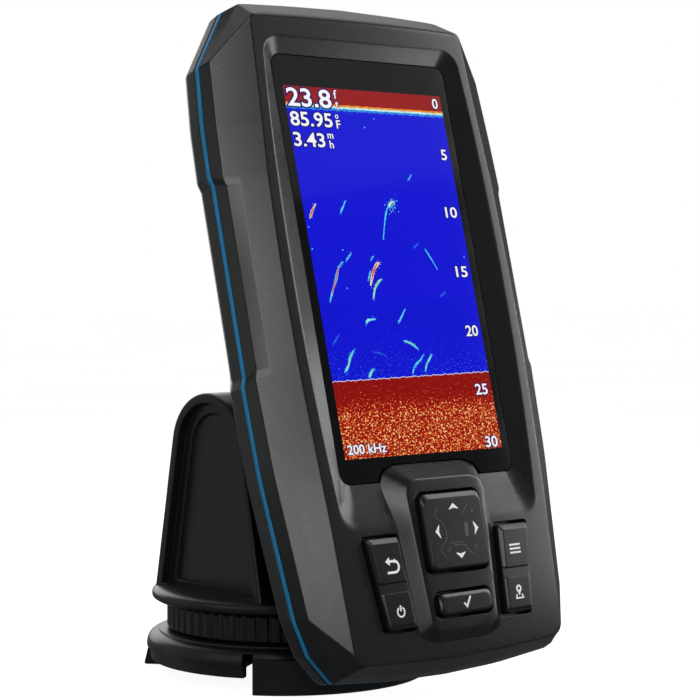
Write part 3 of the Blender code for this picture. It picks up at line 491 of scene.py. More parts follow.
def combine(obj, build, operation):
    """Cut or join a shape drawn in the piece's own frame, and keep the result as its mesh."""
    tool = new_mesh("tool", build, obj.data.materials, obj.matrix_world)
    modifier = obj.modifiers.new("combine", "BOOLEAN")
    modifier.operation = operation
    modifier.solver = "EXACT"
    modifier.object = tool
    bpy.context.view_layer.update()
    result = bpy.data.meshes.new_from_object(
        obj.evaluated_get(bpy.context.evaluated_depsgraph_get()))
    obj.modifiers.clear()
    obj.data = result
    bpy.data.objects.remove(tool)


def cut(obj, build):
    combine(obj, build, "DIFFERENCE")


def join(obj, build):
    combine(obj, build, "UNION")


def drill(obj, *rod_shape):
    """Cut a round hole, or a socket with a few flat sides, described as for rod()."""
    cut(obj, lambda bm: rod(bm, *rod_shape))


def settle(obj, body, nodes, sharp=28):
    """Shade a finished piece and hand it to its CAD body."""
    obj.data.shade_smooth()
    obj.data.set_sharp_from_angle(angle=radians(sharp))
    normals = obj.modifiers.new("weighted", "WEIGHTED_NORMAL")
    normals.keep_sharp = True
    normals.weight = 60
    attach(obj, body)
    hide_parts(*nodes)
    return obj


# ---------------------------------------------------------------- materials

def node(tree, kind, values=None, **settings):
    made = tree.nodes.new(kind)
    for key, value in settings.items():
        setattr(made, key, value)
    for socket, value in (values or {}).items():
        made.inputs[socket].default_value = value
    return made


def blank(name):
    mat = bpy.data.materials.new(name)
    mat.use_nodes = True
    tree = mat.node_tree
    return mat, tree, tree.nodes["Principled BSDF"], node(tree, "ShaderNodeTexCoord")


def noise_from(tree, coords, scale, detail=2.0, stretch=None):
    source = coords.outputs["Object"]
    if stretch:
        mapping = node(tree, "ShaderNodeMapping", {"Scale": stretch})
        tree.links.new(source, mapping.inputs["Vector"])
        source = mapping.outputs["Vector"]
    noise = node(tree, "ShaderNodeTexNoise", {"Scale": scale, "Detail": detail})
    tree.links.new(source, noise.inputs["Vector"])
    return noise.outputs["Fac"]


def ramp(tree, source, stops):
    made = node(tree, "ShaderNodeValToRGB")
    elements = made.color_ramp.elements
    while len(elements) < len(stops):
        elements.new(0.5)
    for element, (position, colour) in zip(elements, stops):
        element.position = position
        element.color = (*colour, 1.0)
    tree.links.new(source, made.inputs["Fac"])
    return made.outputs["Color"]


def spread(tree, source, low, high):
    """Noise turned into a range of plain values."""
    made = node(tree, "ShaderNodeMapRange", {"From Min": 0.3, "From Max": 0.7,
                                             "To Min": low, "To Max": high})
    tree.links.new(source, made.inputs["Value"])
    return made.outputs["Result"]


def tint(colour, factor):
    return tuple(min(1.0, c * factor) for c in colour)


def moulded(name, colour, rough, vary=0.05):
    """Moulded plastic: slightly uneven gloss and a faint colour drift."""
    mat, tree, shader, coords = blank(name)
    drift = noise_from(tree, coords, 55.0, 3.0)
    base = ramp(tree, drift, [(0.35, tint(colour, 1 - vary)), (0.65, tint(colour, 1 + vary))])
    tree.links.new(base, shader.inputs["Base Color"])
    gloss = noise_from(tree, coords, 500.0, 2.0)
    tree.links.new(spread(tree, gloss, rough - 0.01, rough + 0.01), shader.inputs["Roughness"])
    return mat


def metal(name, colour, rough, stretch):
    mat, tree, shader, coords = blank(name)
    brushed = noise_from(tree, coords, 400.0, 4.0, stretch)
    base = ramp(tree, brushed, [(0.3, tint(colour, 0.8)), (0.7, tint(colour, 1.15))])
    tree.links.new(base, shader.inputs["Base Color"])
    tree.links.new(spread(tree, brushed, rough - 0.08, rough + 0.1), shader.inputs["Roughness"])
    bump = node(tree, "ShaderNodeBump", {"Strength": 0.2, "Distance": 0.00003})
    tree.links.new(brushed, bump.inputs["Height"])
    tree.links.new(bump.outputs["Normal"], shader.inputs["Normal"])
    shader.inputs["Metallic"].default_value = 1.0
    return mat


def glossy_black(name):
    mat, tree, shader, coords = blank(name)
    smear = noise_from(tree, coords, 40.0, 3.0)
    base = ramp(tree, smear, [(0.3, (0.0012, 0.0012, 0.0014)), (0.7, (0.002, 0.002, 0.0022))])
    tree.links.new(base, shader.inputs["Base Color"])
    tree.links.new(spread(tree, smear, 0.06, 0.1), shader.inputs["Roughness"])
    return mat


def glow(tree, shader, colour):
    """Let a screen colour shine by itself under the gloss of the pane."""
    tree.links.new(colour, shader.inputs["Emission Color"])
    shader.inputs["Emission Strength"].default_value = 1.0
    shader.inputs["Base Color"].default_value = (0.0, 0.0, 0.0, 1.0)
    shader.inputs["Roughness"].default_value = 0.08
    shader.inputs["Specular IOR Level"].default_value = 0.25


def lit(name, stops, scale=1500.0):
    """A lit part of the screen, its colours picked by fine noise."""
    mat, tree, shader, coords = blank(name)
    glow(tree, shader, ramp(tree, noise_from(tree, coords, scale, 1.0), stops))
    return mat


def speckled(name, stops, scale, levels, least):
    """A lit band whose specks thicken from one height of the face frame to another, in mm."""
    mat, tree, shader, coords = blank(name)
    noise = noise_from(tree, coords, scale, 2.0, (1, 1, 1.3))
    parts = node(tree, "ShaderNodeSeparateXYZ")
    tree.links.new(coords.outputs["Object"], parts.inputs["Vector"])
    fade = node(tree, "ShaderNodeMapRange", {"From Min": levels[0] * MM, "From Max": levels[1] * MM,
                                             "To Min": -least, "To Max": 0.0})
    tree.links.new(parts.outputs["Z"], fade.inputs["Value"])
    total = node(tree, "ShaderNodeMath", operation="ADD")
    tree.links.new(noise, total.inputs[0])
    tree.links.new(fade.outputs["Result"], total.inputs[1])
    glow(tree, shader, ramp(tree, total.outputs["Value"], stops))
    return mat


def linear(red, green, blue):
    """Linear colour from display values of 0 to 255."""
    return tuple((c / 255 / 12.92) if c / 255 <= 0.04045 else ((c / 255 + 0.055) / 1.055) ** 2.4
                 for c in (red, green, blue))


def even(colour, by):
    return [(0.3, tint(colour, 1 - by)), (0.7, tint(colour, 1 + by))]


def lit_evenly(name, display_colour, by, scale=1500.0):
    return lit(f"screen_{name}", even(linear(*display_colour), by), scale)


HOUSING = moulded("housing_plastic", (0.0105, 0.0108, 0.0112), 0.28)
KEYS = moulded("key_plastic", (0.0080, 0.0082, 0.0086), 0.30)
MOUNT = moulded("mount_plastic", (0.0068, 0.0070, 0.0074), 0.34)
BLUE = moulded("accent_blue", linear(22, 128, 182), 0.34)
PANE = glossy_black("lens_glass")
RUBBER = moulded("seal_rubber", (0.010, 0.010, 0.010), 0.8)
STEEL = metal("steel", (0.50, 0.50, 0.51), 0.3, (1, 1, 12))
# White icon paint that also glows faintly: the emission is painted light that keeps the marks bright under
# any lamp.
ICON_PAINT_AND_GLOW = moulded("icon_paint_and_painted_glow", linear(225, 227, 229), 0.55, vary=0.04)
ICON_PAINT_AND_GLOW_SHADER = ICON_PAINT_AND_GLOW.node_tree.nodes["Principled BSDF"]
ICON_PAINT_AND_GLOW_SHADER.inputs["Emission Color"].default_value = (1, 1, 1, 1)
ICON_PAINT_AND_GLOW_SHADER.inputs["Emission Strength"].default_value = 0.28
FAINT_PAINT = moulded("contour_paint", linear(84, 86, 90), 0.5, vary=0.04)
BOARD = moulded("board_green", (0.01, 0.10, 0.04), 0.5, vary=0.3)
CERAMIC = moulded("ceramic", (0.55, 0.50, 0.42), 0.5)
FERRITE = moulded("ferrite", (0.05, 0.045, 0.04), 0.6)
DIFFUSER = moulded("backlight_white", (0.7, 0.7, 0.7), 0.4)

WATER = lit("screen_water", [(0.0, linear(14, 16, 203)), (0.6, linear(18, 19, 210))], 1800.0)
DEEP_WATER = speckled("screen_deep_water", [(0.0, linear(14, 16, 203)), (0.61, linear(16, 18, 208)),
                                            (0.70, linear(60, 130, 240))], 1900.0, (-8.0, -27.0), 0.12)
SURFACE_RED = lit_evenly("surface_red", (147, 26, 26), 0.08)
SEABED = speckled("screen_seabed", [
    (0.0, linear(128, 10, 9)), (0.48, linear(142, 14, 10)), (0.525, linear(190, 46, 18)),
    (0.575, linear(218, 104, 38)), (0.635, linear(238, 190, 110)), (0.70, linear(240, 232, 180)),
    (0.76, linear(150, 200, 190))], 1650.0, (-31.5, -36.5), 0.16)
SEABED_LINE = lit_evenly("seabed_line", (205, 200, 235), 0.2, 2000.0)
ORANGE = lit_evenly("orange", (232, 140, 40), 0.25, 900.0)
PALE = lit_evenly("pale", (190, 235, 225), 0.15, 900.0)
CYAN = lit_evenly("cyan", (40, 130, 235), 0.4, 1600.0)
ECHO_PAINTS = [lit_evenly(f"echo_{name}", colour, by, 1400.0) for name, colour, by in (
    ("cyan", (85, 205, 240), 0.3), ("green", (150, 225, 170), 0.3), ("cream", (235, 225, 170), 0.15),
    ("red", (220, 70, 40), 0.25), ("faint", (40, 100, 225), 0.3))]
LETTER = lit_evenly("letter", (244, 244, 250), 0.02)
LETTER_EDGE = lit_evenly("letter_edge", (14, 12, 90), 0.05)


# ---------------------------------------------------------------- front casing

def keypad_drop(z):
    return KEYPAD_SLOPE * max(0.0, KEYPAD_TOP - z)


def recess_bulge(z):
    _, low, high, _ = RECESS
    return RECESS_BULGE * max(0.0, 1 - ((2 * z - low - high) / (high - low)) ** 2)


def rect_distance(x, z, rect, bulge=0.0):
    """Signed distance to a rounded rectangle, positive outside."""
    half, low, high, radius = rect
    dx = abs(x) - bulge - (half - radius)
    dz = abs(z - (low + high) / 2) - ((high - low) / 2 - radius)
    return hypot(max(dx, 0), max(dz, 0)) + min(max(dx, dz), 0) - radius


def relief(x, z):
    """Height of the front face above the screen's plane, without the pod."""
    flat = -FRAME_Y - keypad_drop(z)
    low = -LENS_Y
    from_lens = rect_distance(x, z, POCKET)
    if from_lens <= 0:
        return low
    to_rim = -rect_distance(x, z, RECESS, recess_bulge(z))
    if from_lens + to_rim <= 0:
        return flat
    share = from_lens / (from_lens + to_rim)
    if share >= 1 + RECESS_EDGE:
        return flat
    if share <= 1 - RECESS_EDGE:
        return low + (flat - low) * share
    return flat - (flat - low) * (1 + RECESS_EDGE - share) ** 2 / (4 * RECESS_EDGE)


def front_rings():
    """Rings from the inside of the rim, round the side wall and chamfer, to the flat frame."""
    share = (GRIP_Y - FRAME_Y) / (EDGE_Y - FRAME_Y)
    frame_corners = mirrored(FRAME)
    grip = [lerp(a, b, share) for a, b in zip(frame_corners, mirrored(EDGE))]
    fronts = []
    for flat, low in zip(frame_corners, grip):
        fronts.append(lerp(flat, low, keypad_drop(flat[1]) / (GRIP_Y - FRAME_Y)))
    front_loop = case_loop(fronts)
    inner_loop = case_loop(inset(fronts, FLAT_MARGIN))
    cavity, parting = inset(edge_corners(), RIM - RIM_LAP), parting_corners()
    levels = ((cavity, 0, INNER_FRONT_Y), (cavity, 0, FRONT_END_Y), (parting, PARTING_EDGE, FRONT_END_Y),
              (parting, 0, FRONT_END_Y - PARTING_EDGE), (edge_corners(), 0, EDGE_Y), (grip, 0, GRIP_Y))
    shell = [case_ring(*level) for level in levels] + [
        [(x, FRAME_Y + keypad_drop(z), z) for x, z in front_loop],
        [(x, -relief(x, z), z) for x, z in inner_loop]]

    def softness(column):
        x, _, z = column[-2]
        half, start, fade = TOP_CREASE
        top_edge = min(1.0, max(0.0, (z - start) / fade)) * (abs(x) < half)
        return [0, 0, 0, 0, 0.35, 0.22, 0.3 + 1.5 * top_edge, 0]

    return eased_rings(shell, softness), inner_loop


def recess_rings():
    """Creases that carry the slope between the pane's pocket and the recess rim."""
    low, high = rounded_rect(*POCKET, splits=12), rounded_rect(*RECESS, splits=12)
    high = [(x + recess_bulge(z) * (1 if x > 0 else -1), z) for x, z in high]
    shares = (0.35, 0.7, 1 - RECESS_EDGE, 1 - RECESS_EDGE / 2, 1.0, 1 + RECESS_EDGE / 2, 1 + RECESS_EDGE)
    return low, [[lerp(a, b, share) for a, b in zip(low, high)] for share in shares]


def pod_top(z):
    return POD_HEIGHT + (z - POD_TOP[0][1]) * POD_SLOPE


def pod_loops():
    counts = side_counts(mirrored(POD_FOOT), 3.0)
    reach = mirrored_values(POD_REACH)
    foot = eased(mirrored(POD_FOOT), reach, 3, counts)
    top = eased(mirrored(POD_TOP), reach, 3, counts)
    inner = eased(inset(mirrored(POD_TOP), POD_RIM), reach, 3, counts)
    return foot, top, inner


def rocker_corners(side):
    return [(side * x, z) for x, z in ROCKER_HOLE]


def key_hole_loops():
    """Rim loop and wall loop of each key's hole."""
    edge = 0.3
    loops = [(rounded_rect(*grown(hole, edge)), rounded_rect(*hole), pod_top)
             for hole in (PAD_HOLE, SELECT_HOLE)]
    for side in (1, -1):
        corners = rocker_corners(side)
        loops.append((eased(inset(corners, -edge), 1.5, 5), eased(corners, 1.2, 5),
                      lambda z: -FRAME_Y - keypad_drop(z)))
    return loops


def draw_pod_side(bm, foot, top, inner):
    """The pod's slopes, starting from wherever the front face was cut along its foot."""
    rings = eased_rings([at_y(foot, 0), [(x, -pod_top(z) + POD_RIM_DROP, z) for x, z in top],
                         [(x, -pod_top(z), z) for x, z in inner]], [0, 0.25, 0], 4)[1:]
    lowest = [(x, -relief(x, z), z) for x, z in foot]
    halfway = [lerp(a, b, 0.5) for a, b in zip(lowest, rings[0])]
    upper = skin(bm, [halfway] + rings, caps=(False, False))[0]
    low = [Vector((x, z)) for x, z in foot]
    count = len(low)
    on_foot = [v for v in bm.verts if v.link_faces and v not in set(upper)]
    chains = []
    for i in range(count):
        start, along = low[i], low[(i + 1) % count] - low[i]
        found = []
        for vert in on_foot:
            offset = Vector((vert.co.x, vert.co.z)) - start
            share = offset.dot(along) / along.length_squared
            if 0.002 < share < 0.998 and (offset - along * share).length < 0.001:
                if abs(-vert.co.y - relief(vert.co.x, vert.co.z)) < 0.001:
                    found.append((share, vert))
        chains.append([tuple(vert.co) for share, vert in sorted(found, key=lambda f: f[0])])
    for i in range(count):
        j = (i + 1) % count
        loop = [lowest[i]] + chains[i] + [lowest[j]]
        verts = [bm.verts.new(point) for point in loop] + [upper[j], upper[i]]
        bm.faces.new(verts)


def draw_front_housing(bm):
    rings, inner_loop = front_rings()
    skin(bm, rings, caps=(False, False))
    pocket, creases = recess_rings()
    foot, top, inner = pod_loops()
    holes = key_hole_loops()
    rockers = [rim for rim, wall, height in holes[2:]]
    flat_fill(bm, inner_loop, [pocket, foot] + rockers, creases, relief)
    draw_pod_side(bm, foot, top, inner)
    flat_fill(bm, inner, [rim for rim, wall, height in holes[:2]], [], lambda x, z: pod_top(z))
    for rim, wall, height in holes:
        ring = [[(x, -height(z), z) for x, z in rim], [(x, -height(z), z) for x, z in wall],
                [(x, -height(z) + 0.5, z) for x, z in wall]]
        skin(bm, eased_rings(ring, [0, 0.27, 0], 3), caps=(False, False))
    bmesh.ops.remove_doubles(bm, verts=bm.verts, dist=0.0008)
    open_edges = [e for e in bm.edges if len(e.link_faces) == 1 and e.verts[0].co.y < INNER_FRONT_Y - 1]
    lens_and_keys_z = KEY_WELL[2] - 0.6
    key_edges = [e for e in open_edges if e.verts[0].co.z < lens_and_keys_z]
    lens_edges = [e for e in open_edges if e.verts[0].co.z >= lens_and_keys_z]
    openings = []
    for edges, (half, bottom, top), y in ((key_edges, KEY_WELL, KEY_WALL_Y),
                                          (lens_edges, (WINDOW[0], -WINDOW[1], WINDOW[1]), POCKET_FLOOR_Y)):
        floor = drop_edges(bm, edges, y)
        opening = edge_loop(bm, [(half, top), (half, bottom), (-half, bottom), (-half, top)], y)
        fill_between(bm, floor + opening)
        openings += opening
    inner_edges = [e for e in bm.edges if len(e.link_faces) == 1
                   and all(abs(v.co.y - INNER_FRONT_Y) < 1e-4 for v in e.verts)]
    fill_between(bm, inner_edges + drop_edges(bm, openings, INNER_FRONT_Y))


def make_front_housing():
    casing = new_mesh("front_casing", draw_front_housing, [HOUSING], FACE)
    settle(casing, "unit", ["front_housing"], 24)


# ---------------------------------------------------------------- rear casing

def back_corners():
    top, bottom = PARTING[0][1], PARTING[-1][1]
    stretch = (BACK_TOP - BACK_BOTTOM) / (top - bottom)
    return [(x * BACK_WIDTH_RATIO, BACK_TOP - (top - z) * stretch) for x, z in parting_corners()]


def draw_rear_body(bm):
    corners, back = parting_corners(), back_corners()
    levels = ((corners, PARTING_EDGE, REAR_START_Y), (corners, 0, REAR_START_Y + PARTING_EDGE),
              (corners, 0.5, REAR_SHOULDER_Y), (back, 0, BACK_Y), (back, 2.5, BACK_Y))
    skin(bm, eased_rings([case_ring(*level) for level in levels], [0, 0, 1.4, 2.2, 0], 4))


def draw_rear_cavity(bm):
    corners = parting_corners()
    skin(bm, [at_y(inset(corners, RIM), REAR_START_Y - 1.0), at_y(inset(corners, RIM), REAR_START_Y + 2.5),
              at_y(inset(corners, WALL + 0.5), REAR_START_Y + 4.5),
              at_y(inset(back_corners(), WALL), BACK_Y - WALL)])


def both_sides(points):
    return [(side * x, z) for x, z in points for side in (1, -1)]


def draw_bosses(bm):
    for centre in both_sides(CASE_SCREWS):
        rod(bm, at_y, centre, BOSS[0], 32, (REAR_START_Y, BOSS[1]))


def draw_wells(bm):
    for centre in both_sides(CASE_SCREWS):
        steps = ((SCREW_BORE, REAR_START_Y - 1.0), (SCREW_BORE, SCREW_SEAT_Y),
                 (SCREW_WELL, SCREW_SEAT_Y), (SCREW_WELL, BACK_Y + 2.0))
        skin(bm, [at_y(circle(radius, 40, centre), y) for radius, y in steps])


def box(bm, x, y, z):
    skin(bm, [at_y([(x[0], z[0]), (x[1], z[0]), (x[1], z[1]), (x[0], z[1])], depth) for depth in y])


def draw_latch_blocks(bm):
    for z in ((-55.0, -42.0), (6.6, 18.0)):
        box(bm, (-11.0, 11.0), (30.5, BACK_Y - WALL + 0.4), z)


def draw_latch_pockets(bm):
    for half, low, high in (HOOK_SLOT, LATCH_SLOT):
        outline = eased([(half, high), (half, low), (-half, low), (-half, high)], 0.8, 4)
        skin(bm, [at_y(outline, y) for y in (SLOT_FLOOR_Y, BACK_Y + 1.0)])


def draw_latch_undercuts(bm):
    """Room behind the wall for the hook and for the latch's tongue."""
    for (half, *_), depth, z in ((HOOK_SLOT, 35.1, (-53.0, -49.0)), (LATCH_SLOT, 35.3, (13.0, 14.9))):
        box(bm, (-half, half), (SLOT_FLOOR_Y, depth), z)


def make_rear_housing():
    casing = new_mesh("rear_casing", draw_rear_body, [HOUSING], FACE)
    cut(casing, draw_rear_cavity)
    join(casing, draw_bosses)
    join(casing, draw_latch_blocks)
    cut(casing, draw_wells)
    cut(casing, draw_latch_pockets)
    cut(casing, draw_latch_undercuts)
    drill(casing, at_y, (0, SOCKET_Z), 8.3, 64, (BACK_Y - 6.0, BACK_Y + 1.0))
    settle(casing, "unit", ["rear_housing"], 26)


def make_trim():
    def draw(bm):
        low, high = TRIM_Y
        levels = ((2.4, low), (0.2, low), (0, low + 0.2), (0, high - 0.2), (0.2, high), (2.4, high))
        skin(bm, [case_ring(parting_corners(), by, y) for by, y in levels], closed=True)

    trim = new_mesh("blue_trim", draw, [BLUE], FACE)
    settle(trim, "unit", ["accent_trim"], 50)


def draw_screw(bm, centre):
    """Pan head and a stub of shank, turned about Y."""
    radius, seat, top = SCREW_HEAD
    crown = [(0.01, seat - 8.0), (1.0, seat - 8.0), (1.0, seat), (radius, seat),
             (radius, top - 0.55), (radius * 0.75, top - 0.1), (0.01, top)]
    turned(bm, crown, 32, closed=False, reach=0.25, axis="Y", centre=centre)


def make_case_screws():
    for number, centre in enumerate(both_sides(CASE_SCREWS), start=1):
        screw = new_mesh(f"cross_screw_{number}", lambda bm: draw_screw(bm, centre), [STEEL], FACE)
        x, z = centre
        for wide, tall in (SCREW_CROSS, SCREW_CROSS[::-1]):
            cut(screw, lambda bm: box(bm, (x - wide, x + wide), (14.5, 16.5), (z - tall, z + tall)))
        settle(screw, "unit", [f"case_screw_{number}"], 30)


# ---------------------------------------------------------------- screen

def lens_corners():
    half, low, high, radius = LENS
    notch = [(18.1, low), (15.9, -50.5), (11.8, -49.3)]
    right = ([(0, high)] + arc((half - radius, high - radius), radius, 90, 0, 8)
             + arc((half - radius, low + radius), radius, 0, -90, 8) + notch + [(0, -49.3)])
    return mirrored(right)


def make_pane():
    def draw(bm):
        outline = lens_corners()
        skin(bm, [at_y(outline, LENS_Y + LENS_THICK), at_y(outline, LENS_Y + LENS_RIM),
                  at_y(inset(outline, LENS_RIM), LENS_Y)])

    pane = new_mesh("glass_pane", draw, [PANE], FACE)
    settle(pane, "unit", ["display_lens"], 20)


def layer_y(level):
    return LENS_Y - LAYER * (level + 1)


def draw_band(bm, top, bottom, material, columns=110):
    """A strip across the screen between two wavy lines."""
    y = layer_y(0)
    width = 2 * SCREEN_HALF
    upper, lower = [], []
    for i in range(columns + 1):
        x = -SCREEN_HALF + width * i / columns
        upper.append(bm.verts.new((x, y, top(x))))
        lower.append(bm.verts.new((x, y, bottom(x))))
    for i in range(columns):
        bm.faces.new((upper[i], upper[i + 1], lower[i + 1], lower[i])).material_index = material


def ragged(level, size, seed, slope=0.0):
    """A level line with small steps, like one drawn from sounding to sounding."""
    def line(x):
        wave = sin(x * 1.7 + seed) + sin(x * 4.3 + 2.1 * seed) + sin(x * 9.7 + 3.7 * seed)
        return level + slope * x + size * wave / 3
    return line


def draw_screen(bm):
    """Sounding picture from the surface clutter down to the seabed."""
    def top(x):
        return SCREEN_TOP

    def seabed(x):
        return shore(x) - 0.2

    def foot(x):
        return -SCREEN_TOP + 0.2

    shore = ragged(SHORE, 0.22, 1.0, 0.015)
    lines = [top, ragged(43.2, 0.12, 0.4), ragged(42.7, 0.1, 1.9), ragged(42.2, 0.12, 2.6),
             ragged(WATERLINE, 0.2, 3.3), ragged(-8.0, 0.3, 4.0), shore, seabed, foot]
    for material, (high, low) in enumerate(zip(lines, lines[1:])):
        draw_band(bm, high, low, material)


def smooth_path(points, steps=5):
    """Catmull-Rom curve through the points."""
    ends = [points[0]] + list(points) + [points[-1]]
    result = []
    for i in range(1, len(ends) - 2):
        p0, p1, p2, p3 = (Vector(p) for p in ends[i - 1:i + 3])
        for k in range(steps):
            t = k / steps
            result.append(0.5 * (2 * p1 + (p2 - p0) * t + (2 * p0 - 5 * p1 + 4 * p2 - p3) * t * t
                                 + (3 * p1 - p0 - 3 * p2 + p3) * t ** 3))
    result.append(Vector(points[-1]))
    return result


def draw_ribbon(bm, points, width, level, material, start=0.0, end=1.0):
    """Tapering stroke along part of a path."""
    path = smooth_path(points)
    path = path[int(start * (len(path) - 1)):int(end * (len(path) - 1)) + 1]
    last = len(path) - 1
    rails = []
    for i, point in enumerate(path):
        along = (path[min(i + 1, last)] - path[max(i - 1, 0)]).normalized()
        share = i / last
        half = width / 2 * (0.3 + 0.7 * sin(pi * min(max(share, 0.04), 0.96))) * (1 + 0.25 * sin(7 * i))
        across = Vector((-along.y, along.x)) * half
        rails.append([bm.verts.new((p.x, layer_y(level), p.y)) for p in (point + across, point - across)])
    for (a, b), (c, d) in zip(rails, rails[1:]):
        bm.faces.new((a, b, d, c)).material_index = material


CYAN_ECHO, GREEN_ECHO, CREAM_ECHO, RED_ECHO, FAINT_ECHO = range(5)
ECHOES = [
    ([(-15.2, 14.8), (-14, 16.3), (-12.8, 18)], 0.5, CYAN_ECHO, None),
    ([(-25.6, 13.2), (-24.4, 15.2), (-22.9, 17)], 0.75, CREAM_ECHO, RED_ECHO),
    ([(-2.1, 8), (-1.3, 10.5), (0, 14), (1, 16), (2.5, 17.5), (3.6, 17.6)], 0.45, CYAN_ECHO, None),
    ([(1.8, 16.6), (2.8, 17.8), (4.3, 18.0)], 0.9, CYAN_ECHO, CREAM_ECHO),
    ([(10.2, 24), (11, 24.7), (11.7, 25.5)], 0.4, CYAN_ECHO, None),
    ([(-23.6, -8), (-22, -5), (-20.5, -2.5), (-19, 0.5), (-17.2, 2.2)], 0.75, CYAN_ECHO, RED_ECHO),
    ([(-16, 2.5), (-15, 3.4), (-13.8, 4.5)], 0.45, CYAN_ECHO, None),
    ([(-9.2, -4), (-7.5, -0.5), (-6, 1.3), (-4.8, 2)], 0.95, CREAM_ECHO, RED_ECHO),
    ([(-9, -7.5), (-8, -5), (-6.5, -3.2), (-5, -2.3)], 0.7, GREEN_ECHO, None),
    ([(-9.6, -2.5), (-9, -1.4), (-8.3, -0.3)], 0.5, CYAN_ECHO, None),
    ([(-7.6, 2.6), (-7, 3.2), (-6.4, 3.6)], 0.35, CYAN_ECHO, None),
    ([(8, 5.8), (9, 6.5), (10, 6.9)], 0.35, FAINT_ECHO, None),
    ([(12, 5.5), (13.6, 3), (15.2, 0.1)], 0.4, CYAN_ECHO, None),
    ([(14.5, -7), (15.5, -6.5), (16.5, -5.8)], 0.35, FAINT_ECHO, None),
    ([(-1.9, -13.8), (-0.3, -12), (1.2, -10.2)], 0.5, CYAN_ECHO, None),
    ([(-13, -13.6), (-11.8, -12.8), (-9.5, -12.6)], 0.8, CYAN_ECHO, GREEN_ECHO),
    ([(-25, -18.7), (-24, -17.8), (-22.6, -16.4)], 0.4, FAINT_ECHO, None),
    ([(-22.7, -25.8), (-21, -24), (-20, -22), (-18.2, -20.1)], 0.8, CYAN_ECHO, GREEN_ECHO),
    ([(-12, -21), (-10, -21.3), (-8, -22)], 0.3, FAINT_ECHO, None),
    ([(-1, -18.3), (0.5, -18.8), (2, -19.5), (3.4, -20.7)], 0.7, CYAN_ECHO, GREEN_ECHO),
    ([(0, -27), (0.9, -25.4), (2.2, -24.2), (3.5, -23.5), (5, -22)], 0.55, CYAN_ECHO, None),
    ([(4.5, -26.5), (5.5, -24.6), (7, -23), (8, -22)], 0.6, CYAN_ECHO, GREEN_ECHO),
    ([(-15, -27.4), (-14, -26.2), (-12.8, -25.2)], 0.85, CYAN_ECHO, GREEN_ECHO),
]
SPOTS = [(-26.5, 11), (-26.5, 5.4), (1.9, 40.1), (-1.9, 37.6), (-16.5, 5.2), (-17.2, -4.6), (25.7, 3.5)]


def draw_speck(bm, x, z, size, material):
    corners = [(x - size, z), (x, z - size), (x + size, z), (x, z + size)]
    bm.faces.new([bm.verts.new((px, layer_y(1), pz)) for px, pz in corners]).material_index = material


def draw_echoes(bm):
    for points, width, edge, core in ECHOES:
        draw_ribbon(bm, points, width, 1, edge)
        if core is not None:
            draw_ribbon(bm, points, width * 0.55, 2, core, 0.15, 0.8)
    scatter = Random(5)
    for points, width, edge, core in ECHOES:
        for point in smooth_path(points, 9):
            for _ in range(2):
                x, z = point.x + scatter.gauss(0, width * 0.35), point.y + scatter.gauss(0, width * 0.5)
                if abs(x) < SCREEN_HALF - 0.2:
                    draw_speck(bm, x, z, scatter.uniform(0.06, 0.12), scatter.choice((edge, FAINT_ECHO)))
    for _ in range(70):
        draw_speck(bm, SCHOOL[0] + scatter.gauss(0, 0.9), SCHOOL[1] + scatter.gauss(0, 1.0),
                   scatter.uniform(0.1, 0.22), scatter.choice((CYAN_ECHO, GREEN_ECHO, FAINT_ECHO)))
    for _ in range(60):
        draw_speck(bm, scatter.uniform(-26, 26), WATERLINE - abs(scatter.gauss(0, 0.5)), 0.1, FAINT_ECHO)
    for x, z in SPOTS:
        bm.faces.new([bm.verts.new((px, layer_y(1), pz)) for px, pz in circle(0.2, 8, (x, z))])


def letters(text, size, offset):
    """Flat mesh of a line of text."""
    curve = bpy.data.curves.new("letters", "FONT")
    curve.body = text
    curve.size = size
    curve.offset = offset
    curve.resolution_u = 4
    holder = bpy.data.objects.new("letters", curve)
    mesh = bpy.data.meshes.new_from_object(holder)
    bpy.data.objects.remove(holder)
    return mesh


def fit_text(bm, text, left, right, low, high):
    """Write a text into a box of the screen: its dark edge first, then the letters."""
    plain = letters(text, 1.0, 0.016)
    xs = [v.co.x for v in plain.vertices]
    zs = [v.co.y for v in plain.vertices]
    wide, tall = (right - left) / (max(xs) - min(xs)), (high - low) / (max(zs) - min(zs))
    for mesh, level, material in ((letters(text, 1.0, 0.07), 3, 1), (plain, 4, 0)):
        verts = [bm.verts.new((left + (v.co.x - min(xs)) * wide, layer_y(level),
                               low + (v.co.y - min(zs)) * tall)) for v in mesh.vertices]
        for polygon in mesh.polygons:
            bm.faces.new([verts[i] for i in polygon.vertices]).material_index = material


SCREEN_TEXTS = [
    ("23.8", -26.5, -11.9, 42.1, 47.0), ("f", -10.8, -9.7, 44.8, 47.1), ("t", -10.7, -9.7, 41.9, 44.2),
    ("85.95", -26.6, -12.7, 37.0, 40.8), ("o", -11.5, -10.4, 39.5, 40.6), ("F", -11.5, -10.1, 36.9, 39.1),
    ("3.43", -26.6, -16.3, 31.7, 35.4), ("m", -15.2, -13.2, 34.1, 35.4), ("h", -14.9, -13.6, 31.6, 33.6),
    ("0", 23.9, 25.9, 43.9, 46.7), ("5", 23.9, 25.9, 29.8, 32.7), ("10", 21.7, 25.9, 14.1, 17.0),
    ("15", 21.7, 25.9, -1.9, 1.0), ("20", 21.5, 25.9, -17.7, -14.8), ("25", 21.2, 25.6, -33.2, -30.3),
    ("30", 21.5, 25.9, -47.0, -44.1), ("200 kHz", -26.0, -13.2, -46.2, -43.8)]


def draw_texts(bm):
    for text, left, right, low, high in SCREEN_TEXTS:
        fit_text(bm, text, left, right, low, high)


